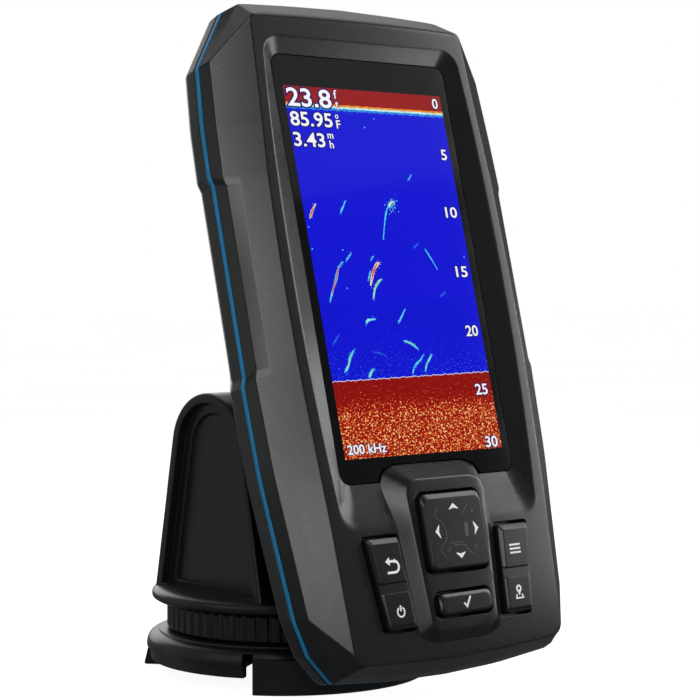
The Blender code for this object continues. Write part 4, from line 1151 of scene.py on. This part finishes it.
def make_screen():
    picture = new_mesh("screen_picture", draw_screen,
                       [SURFACE_RED, ORANGE, PALE, CYAN, WATER, DEEP_WATER, SEABED_LINE, SEABED], FACE)
    echoes = new_mesh("screen_echoes", draw_echoes, ECHO_PAINTS, FACE)
    texts = new_mesh("screen_texts", draw_texts, [LETTER, LETTER_EDGE], FACE)
    picture.visible_glossy = False
    for piece in (picture, echoes, texts):
        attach(piece, "unit")
    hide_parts("lcd_panel")


# ---------------------------------------------------------------- keys

def key_rings(hole_corners, loop, top, bevel, bevel_drop, brow=0.0):
    """Rings of a key from its hidden lip to its bevelled top; brow widens the upper bevel."""
    middle_z = sum(z for x, z in hole_corners) / len(hole_corners)

    def outline(by, lowered=0.0):
        corners = inset(hole_corners, by)
        return loop([(x, z - lowered if z > middle_z else z) for x, z in corners])

    lip, body = outline(-0.9), outline(KEY_GAP)
    roof, middle = outline(KEY_GAP + bevel, brow), outline(KEY_GAP + bevel + 0.8, brow)
    rings = [at_y(lip, KEY_LIP_Y[1]), at_y(lip, KEY_LIP_Y[0]), at_y(body, KEY_LIP_Y[0]),
             at_y(body, bevel_drop - top), at_y(roof, -top), at_y(middle, -top)]
    return eased_rings(rings, [0, 0, 0, 0.2, 0.2, 0], 3)


def rect_corners(hole):
    half, low, high, _ = hole
    return [(half, high), (half, low), (-half, low), (-half, high)]


def raised(bm, outline, height, material=1, thick=0.07):
    """A thin painted mark on a key."""
    low = [(x, -height(x, z) + 0.05, z) for x, z in outline]
    high = [(x, -height(x, z) - thick, z) for x, z in outline]
    skin(bm, [low, high], material=material)


def stroke(points, width):
    """Outline of a line of even width."""
    path = [Vector(p) for p in points]
    left, right = [], []
    for i, point in enumerate(path):
        before = (point - path[i - 1]).normalized() if i else None
        after = (path[i + 1] - point).normalized() if i < len(path) - 1 else None
        along = ((before or after) + (after or before)).normalized()
        normal = Vector((-along.y, along.x))
        scale = 1 / max(0.5, normal.dot(Vector((-(before or after).y, (before or after).x))))
        left.append(tuple(point + normal * width / 2 * scale))
        right.append(tuple(point - normal * width / 2 * scale))
    return left + right[::-1]


PAD_CONTOURS = [
    [(-5.3, 6.0), (-6.7, 4.2), (-5.9, 3.1), (-4.4, 1.9), (-4.0, 0.7), (-3.8, -0.6), (-4.1, -2.1),
     (-5.2, -3.2), (-6.3, -4.0), (-6.4, -5.0), (-4.9, -6.6)],
    [(5.0, 6.1), (3.6, 4.8), (2.3, 3.7)], [(-3.0, -3.1), (1.1, -3.1)],
    [(-1.9, -3.7), (1.5, -3.8), (2.3, -4.4), (3.6, -5.9), (4.8, -6.4)], [(-2.9, -3.8), (-4.2, -5.2)]]


def draw_pad(bm):
    skin(bm, key_rings(rect_corners(PAD_HOLE), lambda c: eased(c, 2.2, 6), PAD_TOP, 0.5, 0.7, 0.85))
    height = lambda x, z: PAD_TOP
    for turn, reach in enumerate((5.9, 6.6, 6.3, 6.6)):
        angle = pi / 2 * turn
        tip = [(0, reach + 0.8), (1.7, reach - 0.7), (1.1, reach - 0.65), (0, reach - 0.35),
               (-1.1, reach - 0.65), (-1.7, reach - 0.7)]
        placed = [(x * cos(angle) + z * sin(angle), PAD_CENTRE_Z - x * sin(angle) + z * cos(angle))
                  for x, z in tip]
        raised(bm, placed, height)
    for contour in PAD_CONTOURS:
        line = smooth_path([(x, z + PAD_CENTRE_Z) for x, z in contour], 4)
        raised(bm, stroke(line, 0.2), height, 2, 0.03)
    for x, z in ((6.3, 4.3), (5.7, -4.5)):
        raised(bm, circle(0.35, 12, (x, z + PAD_CENTRE_Z)), height, 2, 0.03)
    bar = [(2.9, 1.5), (4.0, 1.5), (3.6, -1.8), (2.5, -1.8)]
    raised(bm, [(x, z + PAD_CENTRE_Z) for x, z in bar], height, 2, 0.03)


def draw_select(bm):
    skin(bm, key_rings(rect_corners(SELECT_HOLE), lambda c: eased(c, 1.8, 6), SELECT_TOP, 0.5, 0.5, 0.4))
    tick = [(-1.2, SELECT_CENTRE_Z - 0.1), (-0.35, SELECT_CENTRE_Z - 1.1), (1.3, SELECT_CENTRE_Z + 1.3)]
    raised(bm, stroke(tick, 0.5), lambda x, z: SELECT_TOP)


def rocker_height(x, z):
    top, bottom = ROCKER_HOLE[0][1], ROCKER_HOLE[3][1]
    return ROCKER_TOP[0] + (ROCKER_TOP[1] - ROCKER_TOP[0]) * (top - z) / (top - bottom)


def rocker_half(side, high, low):
    """Corners of one raised key of a rocker."""
    inner, outer = (ROCKER_HOLE[0], ROCKER_HOLE[3]), (ROCKER_HOLE[1], ROCKER_HOLE[2])
    margin = KEY_GAP + 0.1

    def x_at(edge, z):
        share = (edge[0][1] - z) / (edge[0][1] - edge[1][1])
        return edge[0][0] + (edge[1][0] - edge[0][0]) * share

    return [(side * (x_at(inner, high) + margin), high), (side * (x_at(outer, high) - margin), high),
            (side * (x_at(outer, low) - margin), low), (side * (x_at(inner, low) + margin), low)]


def draw_rocker_body(bm, side):
    corners = rocker_corners(side)
    lip, body = eased(inset(corners, -0.9), 1.6, 4), eased(inset(corners, KEY_GAP), 0.9, 4)
    inner = eased(inset(corners, KEY_GAP + 0.6), 0.9, 4)
    rings = [at_y(lip, KEY_LIP_Y[1]), at_y(lip, KEY_LIP_Y[0]), at_y(body, KEY_LIP_Y[0]),
             at_y(body, -ROCKER_BAR_TOP), at_y(inner, -ROCKER_BAR_TOP)]
    skin(bm, eased_rings(rings, [0, 0, 0, 0.3, 0], 3))


def draw_rocker_caps(bm, side):
    top, bottom = ROCKER_HOLE[0][1] - KEY_GAP - 0.1, ROCKER_HOLE[3][1] + KEY_GAP + 0.1
    bar = (ROCKER_AXIS_Z + ROCKER_BAR_HALF, ROCKER_AXIS_Z - ROCKER_BAR_HALF)
    for high, low, bar_z in ((top, bar[0], bar[0]), (bar[1], bottom, bar[1])):
        corners = rocker_half(side, high, low)
        toward_cap = 1 if bar_z == low else -1
        brow = 0.6 if toward_cap == 1 else -0.1

        def beside_bar(by, gap):
            """Inset on the outer sides only, a small gap away from the bar."""
            return [(x, bar_z + toward_cap * gap if abs(z - bar_z) < by + 0.3 else z - brow)
                    for x, z in inset(corners, by)]

        foot, roof = eased(corners, 0.7, 4), eased(beside_bar(0.8, 0.25), 0.5, 4)
        inner = eased(beside_bar(1.35, 0.8), 0.5, 4)
        rings = [at_y(foot, -ROCKER_BAR_TOP + 0.5),
                 [(x, -max(rocker_height(x, z) - 0.95, ROCKER_BAR_TOP - 0.3), z) for x, z in foot],
                 [(x, -rocker_height(x, z), z) for x, z in roof],
                 [(x, -rocker_height(x, z), z) for x, z in inner]]
        skin(bm, eased_rings(rings, [0, 0.2, 0.2, 0], 3))


def draw_menu_mark_icons(bm):
    for z in (-72.8, -73.8, -74.8):
        raised(bm, [(19.5, z + 0.24), (23.3, z + 0.24), (23.3, z - 0.24), (19.5, z - 0.24)], rocker_height)
    x, z = 20.6, -83.9
    head = arc((x, z), 0.95, -50, 230, 18) + [(x, z - 1.8)]
    raised(bm, head, rocker_height)
    raised(bm, circle(0.42, 12, (x, z)), rocker_height, 0, 0.09)
    tray = [(x - 0.9, z - 1.4), (x - 1.25, z - 2.4), (x + 1.25, z - 2.4), (x + 0.9, z - 1.4)]
    raised(bm, stroke(tray, 0.38), rocker_height)


def draw_back_power_icons(bm):
    x, z = -21.2, -74.2
    hook = [(x - 1.2, z + 1.0), (x + 0.6, z + 1.0)] + arc((x + 0.6, z - 0.35), 1.35, 90, -90, 10)
    hook += [(x - 1.9, z - 1.7)]
    raised(bm, stroke(hook, 0.6), rocker_height)
    raised(bm, [(x - 2.3, z + 1.0), (x - 0.9, z + 2.05), (x - 0.9, z - 0.05)], rocker_height)
    x, z = -20.6, -85.5
    raised(bm, stroke(arc((x, z), 1.15, 122, 418, 24), 0.42), rocker_height)
    raised(bm, stroke([(x, z + 0.15), (x, z + 1.6)], 0.42), rocker_height)


def make_keys():
    paints = [KEYS, ICON_PAINT_AND_GLOW, FAINT_PAINT]
    pad = new_mesh("direction_pad", draw_pad, paints, FACE)
    settle(pad, "dpad", ["dpad_key"], 35)
    select = new_mesh("tick_key", draw_select, paints, FACE)
    settle(select, "select_key", ["select_key"], 35)
    for name, side, icons in (("menu_mark_rocker", 1, draw_menu_mark_icons),
                              ("back_power_rocker", -1, draw_back_power_icons)):
        rocker = new_mesh(f"{name}_cap", lambda bm: draw_rocker_body(bm, side), paints, FACE)
        join(rocker, lambda bm: draw_rocker_caps(bm, side))
        marks = new_mesh(f"{name}_icons", icons, paints, FACE)
        settle(rocker, name, [name], 35)
        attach(marks, name)


# ---------------------------------------------------------------- socket on the back

def make_socket():
    centre = (0, SOCKET_Z)

    def draw_shell(bm):
        profile = [(8.0, 31.6), (8.0, 39.9)]
        for thread in range(3):
            y = 40.4 + 1.1 * thread
            profile += [(7.6, y), (7.6, y + 0.2), (8.0, y + 0.5), (8.0, y + 0.65)]
        profile += [(8.0, 44.0), (7.6, 44.5), (6.6, 44.5), (6.3, 44.2), (6.3, 29.0), (10.6, 29.0),
                    (10.6, 31.6)]
        turned(bm, profile, 72, reach=0.12, steps=2, axis="Y", centre=centre)

    def fluted(angle, radius):
        if radius < 11.0:
            return radius
        return radius - 0.45 * max(0.0, cos(24 * angle)) ** 3

    def draw_nut(bm):
        profile = [(8.3, 37.2), (12.0, 37.2), (12.0, 39.3), (11.5, 39.7), (8.7, 39.7), (8.3, 39.4)]
        turned(bm, profile, 192, reach=0.25, axis="Y", centre=centre, ripple=fluted)

    shell = new_mesh("cable_socket_shell", draw_shell, [MOUNT], FACE)
    settle(shell, "unit", ["socket_shell"], 35)
    nut = new_mesh("cable_socket_nut", draw_nut, [MOUNT], FACE)
    settle(nut, "unit", ["socket_nut"], 35)


# ---------------------------------------------------------------- cradle and latch

def make_cradle():
    y_axis, z_axis = AXIS_TO_SCREEN_Y, -AXIS_TO_SCREEN_Z

    def draw_plate(bm):
        outline = eased([(KNUCKLE_HALF, 9.0), (KNUCKLE_HALF, -52.0), (-KNUCKLE_HALF, -52.0),
                         (-KNUCKLE_HALF, 9.0)], 2.5, 6)
        prism(bm, outline, CRADLE_Y[0], CRADLE_Y[1], at_y, 0.5)

    def draw_knuckle(bm):
        web = CRADLE_Y[1] - 1.0
        outline = (arc((y_axis, z_axis), KNUCKLE_RADIUS, 90, -90, 40)
                   + [(web, z_axis - KNUCKLE_RADIUS - 3.0), (web, z_axis + KNUCKLE_RADIUS + 3.0)])
        prism(bm, outline, -KNUCKLE_HALF, KNUCKLE_HALF, at_x, 0.5)

    def draw_hook(bm):
        start = CRADLE_Y[0] + 0.5
        outline = [(start, -45.0), (33.3, -45.0), (33.3, -52.6), (34.7, -52.6), (34.7, -49.6),
                   (start, -49.6)]
        prism(bm, eased(outline, 0.2, 2), -8.7, 8.7, at_x, 0.15)

    def draw_ears(bm):
        y, z = LATCH_AXIS
        outline = eased([(CRADLE_Y[1] - 0.5, z - 3.4), (y, z - 3.4), (y + 2.6, z - 1.4),
                         (y + 2.6, z + 1.4), (y, z + 3.4), (CRADLE_Y[1] - 0.5, z + 3.4)], 1.0, 4)
        for x in ((-10.6, -7.6), (7.6, 10.6)):
            prism(bm, outline, x[0], x[1], at_x, 0.3)

    cradle = new_mesh("tilt_cradle", draw_plate, [MOUNT], FACE)
    join(cradle, draw_knuckle)
    join(cradle, draw_hook)
    join(cradle, draw_ears)
    drill(cradle, at_x, (y_axis, z_axis), 3.2, 48, (-30, 30))
    drill(cradle, at_x, LATCH_AXIS, 1.3, 24, (-12, 12))
    settle(cradle, "unit", ["cradle"], 30)


def make_latch():
    y, z = LATCH_AXIS

    def draw(bm):
        outline = [(y - 1.9, z - 2.0), (y + 2.2, z - 2.0), (y + 2.2, z + 10.0), (y + 0.4, z + 10.0),
                   (y - 0.6, z + 6.6), (34.6, z + 6.6), (34.4, z + 7.7), (33.4, z + 7.0),
                   (33.4, z + 4.1), (y - 1.9, z + 4.1)]
        prism(bm, eased(outline, 0.25, 2), -5.6, 5.6, at_x, 0)

    def draw_grip_lines(bm):
        for step in range(4):
            low = z + 5.2 + 1.1 * step
            box(bm, (-4.2, 4.2), (y + 1.9, y + 3.0), (low, low + 0.45))

    latch = new_mesh("latch_lever", draw, [MOUNT], FACE)
    drill(latch, at_x, LATCH_AXIS, 1.3, 24, (-8, 8))
    cut(latch, draw_grip_lines)
    settle(latch, "release_latch", ["release_latch"], 30)


# ---------------------------------------------------------------- tower

def arch_outline(shrink, foot_z, steps=48):
    """Side view of the tower, (y, z): a round head on two straight, spreading sides."""
    radius = ARCH_RADIUS - shrink
    drop = TILT_AXIS_Z - ARCH_FOOT[1]
    reach = hypot(ARCH_FOOT[0], drop)
    lean = atan2(ARCH_FOOT[0], drop) - asin(ARCH_RADIUS / reach)
    points = arc((0, TILT_AXIS_Z), radius, 180 - degrees(lean), degrees(lean), steps)
    foot_half = radius / cos(lean) + (TILT_AXIS_Z - foot_z) * sin(lean) / cos(lean)
    return points + [(foot_half, foot_z), (-foot_half, foot_z)]


def draw_arch(bm):
    """Both walls of the tower with their stepped side panels."""
    side = [(24.1, 6.2, 25.4), (24.1, 5.7, 25.2), (25.1, 5.4, 25.2), (25.1, 2.9, 24.1),
            (TOWER_HALF, 2.6, 24.0), (TOWER_HALF, 0.0, 22.2)]
    reach = [0, 0.2, 0.3, 0.4, 0.45, 0.9]
    stations = [(-x, shrink, foot) for x, shrink, foot in side] + [
        (x, shrink, foot) for x, shrink, foot in reversed(side)]
    rings = [at_x(arch_outline(shrink, foot), x) for x, shrink, foot in stations]
    skin(bm, eased_rings(rings, reach + reach[::-1], 3))


def draw_tower_foot(bm):
    profile = [(3.4, 11.8), (21.6, 11.8), (21.6, 19.8), (35.0, 19.8), (36.2, 20.6), (36.2, 22.2),
               (35.2, 23.1), (30.0, 24.4), (3.4, 24.4)]
    turned(bm, profile, 128, reach=[0, 0, 0, 0.5, 0.5, 0.7, 1.5, 1.5, 0])


def draw_slot(bm):
    half, floor = TOWER_SLOT_HALF, TOWER_SLOT_FLOOR
    outline = eased([(-half, 90), (half, 90), (half, floor), (-half, floor)], [0, 0, 1.2, 1.2], 4)
    skin(bm, [[(x, y, z) for x, z in outline] for y in (-40, 40)])


def make_tower():
    tower = new_mesh("mount_tower", draw_tower_foot, [MOUNT], WORLD)
    join(tower, draw_arch)
    cut(tower, draw_slot)
    drill(tower, at_z, (0, 0), WELL_RADIUS, 64, (13.7, 43.0))
    axis = (0, TILT_AXIS_Z)
    drill(tower, at_x, axis, 3.2, 48, (-21.5, 30))
    drill(tower, at_x, axis, 6.1, 64, (19.8, 30))
    drill(tower, at_x, axis, 5.9, 6, (-19.9, -14))
    settle(tower, "tower", ["tower"], 28)


def make_tilt_bolt():
    def draw(bm):
        profile = [(0.01, -20.8), (2.9, -20.8), (2.9, 20.1), (5.6, 20.1), (5.6, 22.9), (5.1, 23.3),
                   (0.01, 23.3)]
        turned(bm, profile, 48, closed=False, reach=0.25, axis="X", centre=(0, TILT_AXIS_Z))

    bolt = new_mesh("tilt_pivot_bolt", draw, [STEEL], WORLD)
    drill(bolt, at_x, (0, TILT_AXIS_Z), 2.9, 6, (21.3, 24))
    settle(bolt, "tower", ["tilt_bolt"], 30)


# ---------------------------------------------------------------- swivel base

def draw_base_body(bm):
    profile = [(0.01, 0), (9.0, 0), (9.0, 6.5), (33.8, 6.5), (33.8, 4.0), (36.6, 4.0), (36.6, 7.1),
               (BASE_RADIUS, 7.1), (BASE_RADIUS, 8.8), (36.9, 10.5), (35.4, 11.4), (34.4, 11.4),
               (34.4, 11.9), (25.5, 11.9), (25.5, 18.6), (22.2, 18.6), (22.2, 11.4), (0.01, 11.4)]
    reach = [0, 0.4, 0.4, 0.4, 0.3, 0.3, 0.2, 0.3, 0.9, 0.9, 0.6, 0.2, 0.2, 0.3, 0.3, 0.3, 0.3, 0]
    turned(bm, profile, 144, closed=False, reach=reach)


def sector(inner, outer, start, end, steps=31):
    return arc((0, 0), outer, start, end, steps) + arc((0, 0), inner, end, start, steps)


def draw_feet(bm):
    for (start, end), flare in ((FRONT_FOOT, 0.0), (BACK_FOOT, 1.9)):
        rings = [(30.4, 37.5 + flare, 0), (30.0, 37.9 + flare, 0.4), (30.0, 37.9 + 0.25 * flare, 6.1),
                 (30.0, 37.9, 9.0), (30.0, 37.5, 9.4)]
        skin(bm, [at_z(sector(inner, outer, start, end), z) for inner, outer, z in rings])


def screw_centres():
    return circle(SCREW_CIRCLE, 4, (0, 0), pi / 4)


def draw_screw_pads(bm):
    for centre in screw_centres():
        rod(bm, at_z, centre, 4.2, 32, (0, 10.4))


def draw_base_slots(bm):
    for start, end in ((FRONT_FOOT[0] - FOOT_SLOT, FRONT_FOOT[0] + FOOT_OVERLAP),
                       (FRONT_FOOT[1] - FOOT_OVERLAP, FRONT_FOOT[1] + FOOT_SLOT)):
        skin(bm, [at_z(sector(29.0, BASE_RADIUS + 2, start, end, 2), z) for z in (-1, 10.3)])


def draw_base_holes(bm):
    for centre in screw_centres():
        rod(bm, at_z, centre, 2.2, 32, (-1, 12.4))
    rod(bm, at_z, (0, 0), 2.8, 32, (3.0, 12.4))


def make_base():
    base = new_mesh("base_plate", draw_base_body, [MOUNT], WORLD)
    join(base, draw_feet)
    join(base, draw_screw_pads)
    cut(base, draw_base_slots)
    cut(base, draw_base_holes)
    settle(base, "base", ["swivel_base"], 28)


def make_lock_ring():
    crest = [(0.0, 0.6), (0.1, 0.5), (0.2, 0.14), (0.3, 0.02), (0.5, 0.0), (0.7, 0.02), (0.8, 0.14),
             (0.9, 0.5)]

    def draw(bm):
        step = 2 * pi / RING_RIBS
        angles = [(step * (i + share), depth) for i in range(RING_RIBS) for share, depth in crest]
        low, high = RING_Z

        def ring(radius, share, z):
            return [((radius - depth * share) * cos(a), (radius - depth * share) * sin(a), z)
                    for a, depth in angles]

        rings = [ring(RING_INNER, 0, low), ring(RING_OUTER - 0.5, 0.6, low), ring(RING_OUTER, 1, low + 0.5),
                 ring(RING_OUTER, 1, high - 0.5), ring(RING_OUTER - 0.5, 0.6, high),
                 ring(RING_INNER, 0, high)]
        skin(bm, rings, closed=True)

    ring = new_mesh("ribbed_lock_ring", draw, [MOUNT], WORLD)
    settle(ring, "lock_ring", ["swivel_lock_ring"], 40)


# ---------------------------------------------------------------- CAD parts that stay

def finish_cad_nodes():
    """Give the parts kept from the CAD model their materials."""
    by_slot = {"steel": STEEL, "seal_rubber": RUBBER, "board_green": BOARD, "ceramic": CERAMIC,
               "ferrite": FERRITE, "backlight_white": DIFFUSER, "mount_plastic": MOUNT,
               "key_plastic": KEYS, "housing_plastic": HOUSING, "screen_layer": PANE,
               "accent_blue": BLUE, "lens_glass": PANE}
    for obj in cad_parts.values():
        if obj.hide_render:
            continue
        for place in obj.material_slots:
            name = place.material.name.split(".")[0]
            place.material = by_slot[name]


# ---------------------------------------------------------------- studio

def grey(level):
    return (level, level, level)


def make_floor():
    """A pale floor that glows a little, so that it stays even right round the object."""
    mat, tree, shader, coords = blank("studio_floor")
    drift = noise_from(tree, coords, 6.0, 2.0)
    for socket, low, high in (("Base Color", 0.59, 0.61), ("Emission Color", 0.925, 0.935)):
        tree.links.new(ramp(tree, drift, [(0.3, grey(low)), (0.7, grey(high))]), shader.inputs[socket])
    shader.inputs["Emission Strength"].default_value = 1.0
    shader.inputs["Roughness"].default_value = 0.9
    shader.inputs["Specular IOR Level"].default_value = 0.0
    bm = bmesh.new()
    bmesh.ops.create_grid(bm, x_segments=2, y_segments=2, size=4.0)
    mesh = bpy.data.meshes.new("studio_floor")
    bm.to_mesh(mesh)
    bm.free()
    mesh.materials.append(mat)
    floor = bpy.data.objects.new("studio_floor", mesh)
    floor.location.z = -0.0001
    bpy.context.collection.objects.link(floor)
    floor.visible_glossy = False
    floor.visible_diffuse = False


def panel(name, place, towards, size, power):
    """Rectangular light at a place in millimetres, facing another one and leaning like the unit."""
    light = bpy.data.lights.new(name, "AREA")
    light.shape = "RECTANGLE"
    light.size, light.size_y = size[0] * MM, size[1] * MM
    light.energy = power
    obj = bpy.data.objects.new(name, light)
    away = (Vector(place) - Vector(towards)).normalized()
    unit_up = FACE.to_3x3() @ Vector((0, 0, 1))
    across = unit_up.cross(away).normalized()
    turn = Matrix((across, away.cross(across), away)).transposed()
    obj.matrix_world = Matrix.Translation(Vector(place) * MM) @ turn.to_4x4()
    obj.visible_camera = False
    bpy.context.collection.objects.link(obj)


PANELS = [                                 # name, place, what it faces, size in mm, watts
    ("left_panel", (-169, -204, 190), (-42, -50, 110), (52, 320), 0.275),
    ("right_panel", (150, -110, 165), (0, -110, 165), (62, 260), 0.225),
    ("right_low_panel", (150, -55, 85), (0, -55, 85), (30, 70), 0.03),
    ("pod_panel", (-95, -204, 78), (-15, -70, 30), (40, 60), 0.022),
    ("high_panel", (375, -420, 520), (0, -40, 140), (300, 300), 0.08),
    ("top_back_panel", (130, 260, 480), (0, -30, 110), (760, 420), 0.62),
    ("back_panel", (130, 430, 170), (0, 20, 80), (400, 260), 0.55),
    ("left_back_panel", (-260, 300, 110), (0, 0, 80), (300, 400), 0.07),
    ("left_side_panel", (-400, 0, 170), (-50, -30, 110), (300, 300), 0.12)]


def make_world():
    """A white backdrop for the camera; a dim cool one for everything the light falls on."""
    world = bpy.data.worlds.new("studio")
    bpy.context.scene.world = world
    world.use_nodes = True
    tree = world.node_tree
    back = tree.nodes["Background"]
    rays = node(tree, "ShaderNodeLightPath")
    plain = node(tree, "ShaderNodeBackground", {"Color": (1, 1, 1, 1), "Strength": 1.0})
    back.inputs["Color"].default_value = (0.9, 0.95, 1.0, 1.0)
    back.inputs["Strength"].default_value = 0.12
    mix = node(tree, "ShaderNodeMixShader")
    tree.links.new(rays.outputs["Is Camera Ray"], mix.inputs["Fac"])
    tree.links.new(back.outputs["Background"], mix.inputs[1])
    tree.links.new(plain.outputs["Background"], mix.inputs[2])
    tree.links.new(mix.outputs["Shader"], tree.nodes["World Output"].inputs["Surface"])


def make_camera():
    data = bpy.data.cameras.new("photo_view")
    data.lens = CAMERA_LENS
    data.sensor_width = CAMERA_SENSOR
    camera = bpy.data.objects.new("photo_view", data)
    camera.location = Vector(CAMERA_PLACE) * MM
    camera.rotation_euler = (pi / 2 - CAMERA_PITCH, 0, -CAMERA_YAW)
    data.clip_start, data.clip_end = 0.01, 20.0
    bpy.context.collection.objects.link(camera)
    bpy.context.scene.camera = camera


make_front_housing()
make_rear_housing()
make_trim()
make_case_screws()
make_pane()
make_screen()
make_keys()
make_socket()
make_cradle()
make_latch()
make_tower()
make_tilt_bolt()
make_base()
make_lock_ring()
finish_cad_nodes()
make_floor()
for values in PANELS:
    panel(*values)
make_world()
make_camera()
bpy.context.scene.view_settings.view_transform = "Standard"
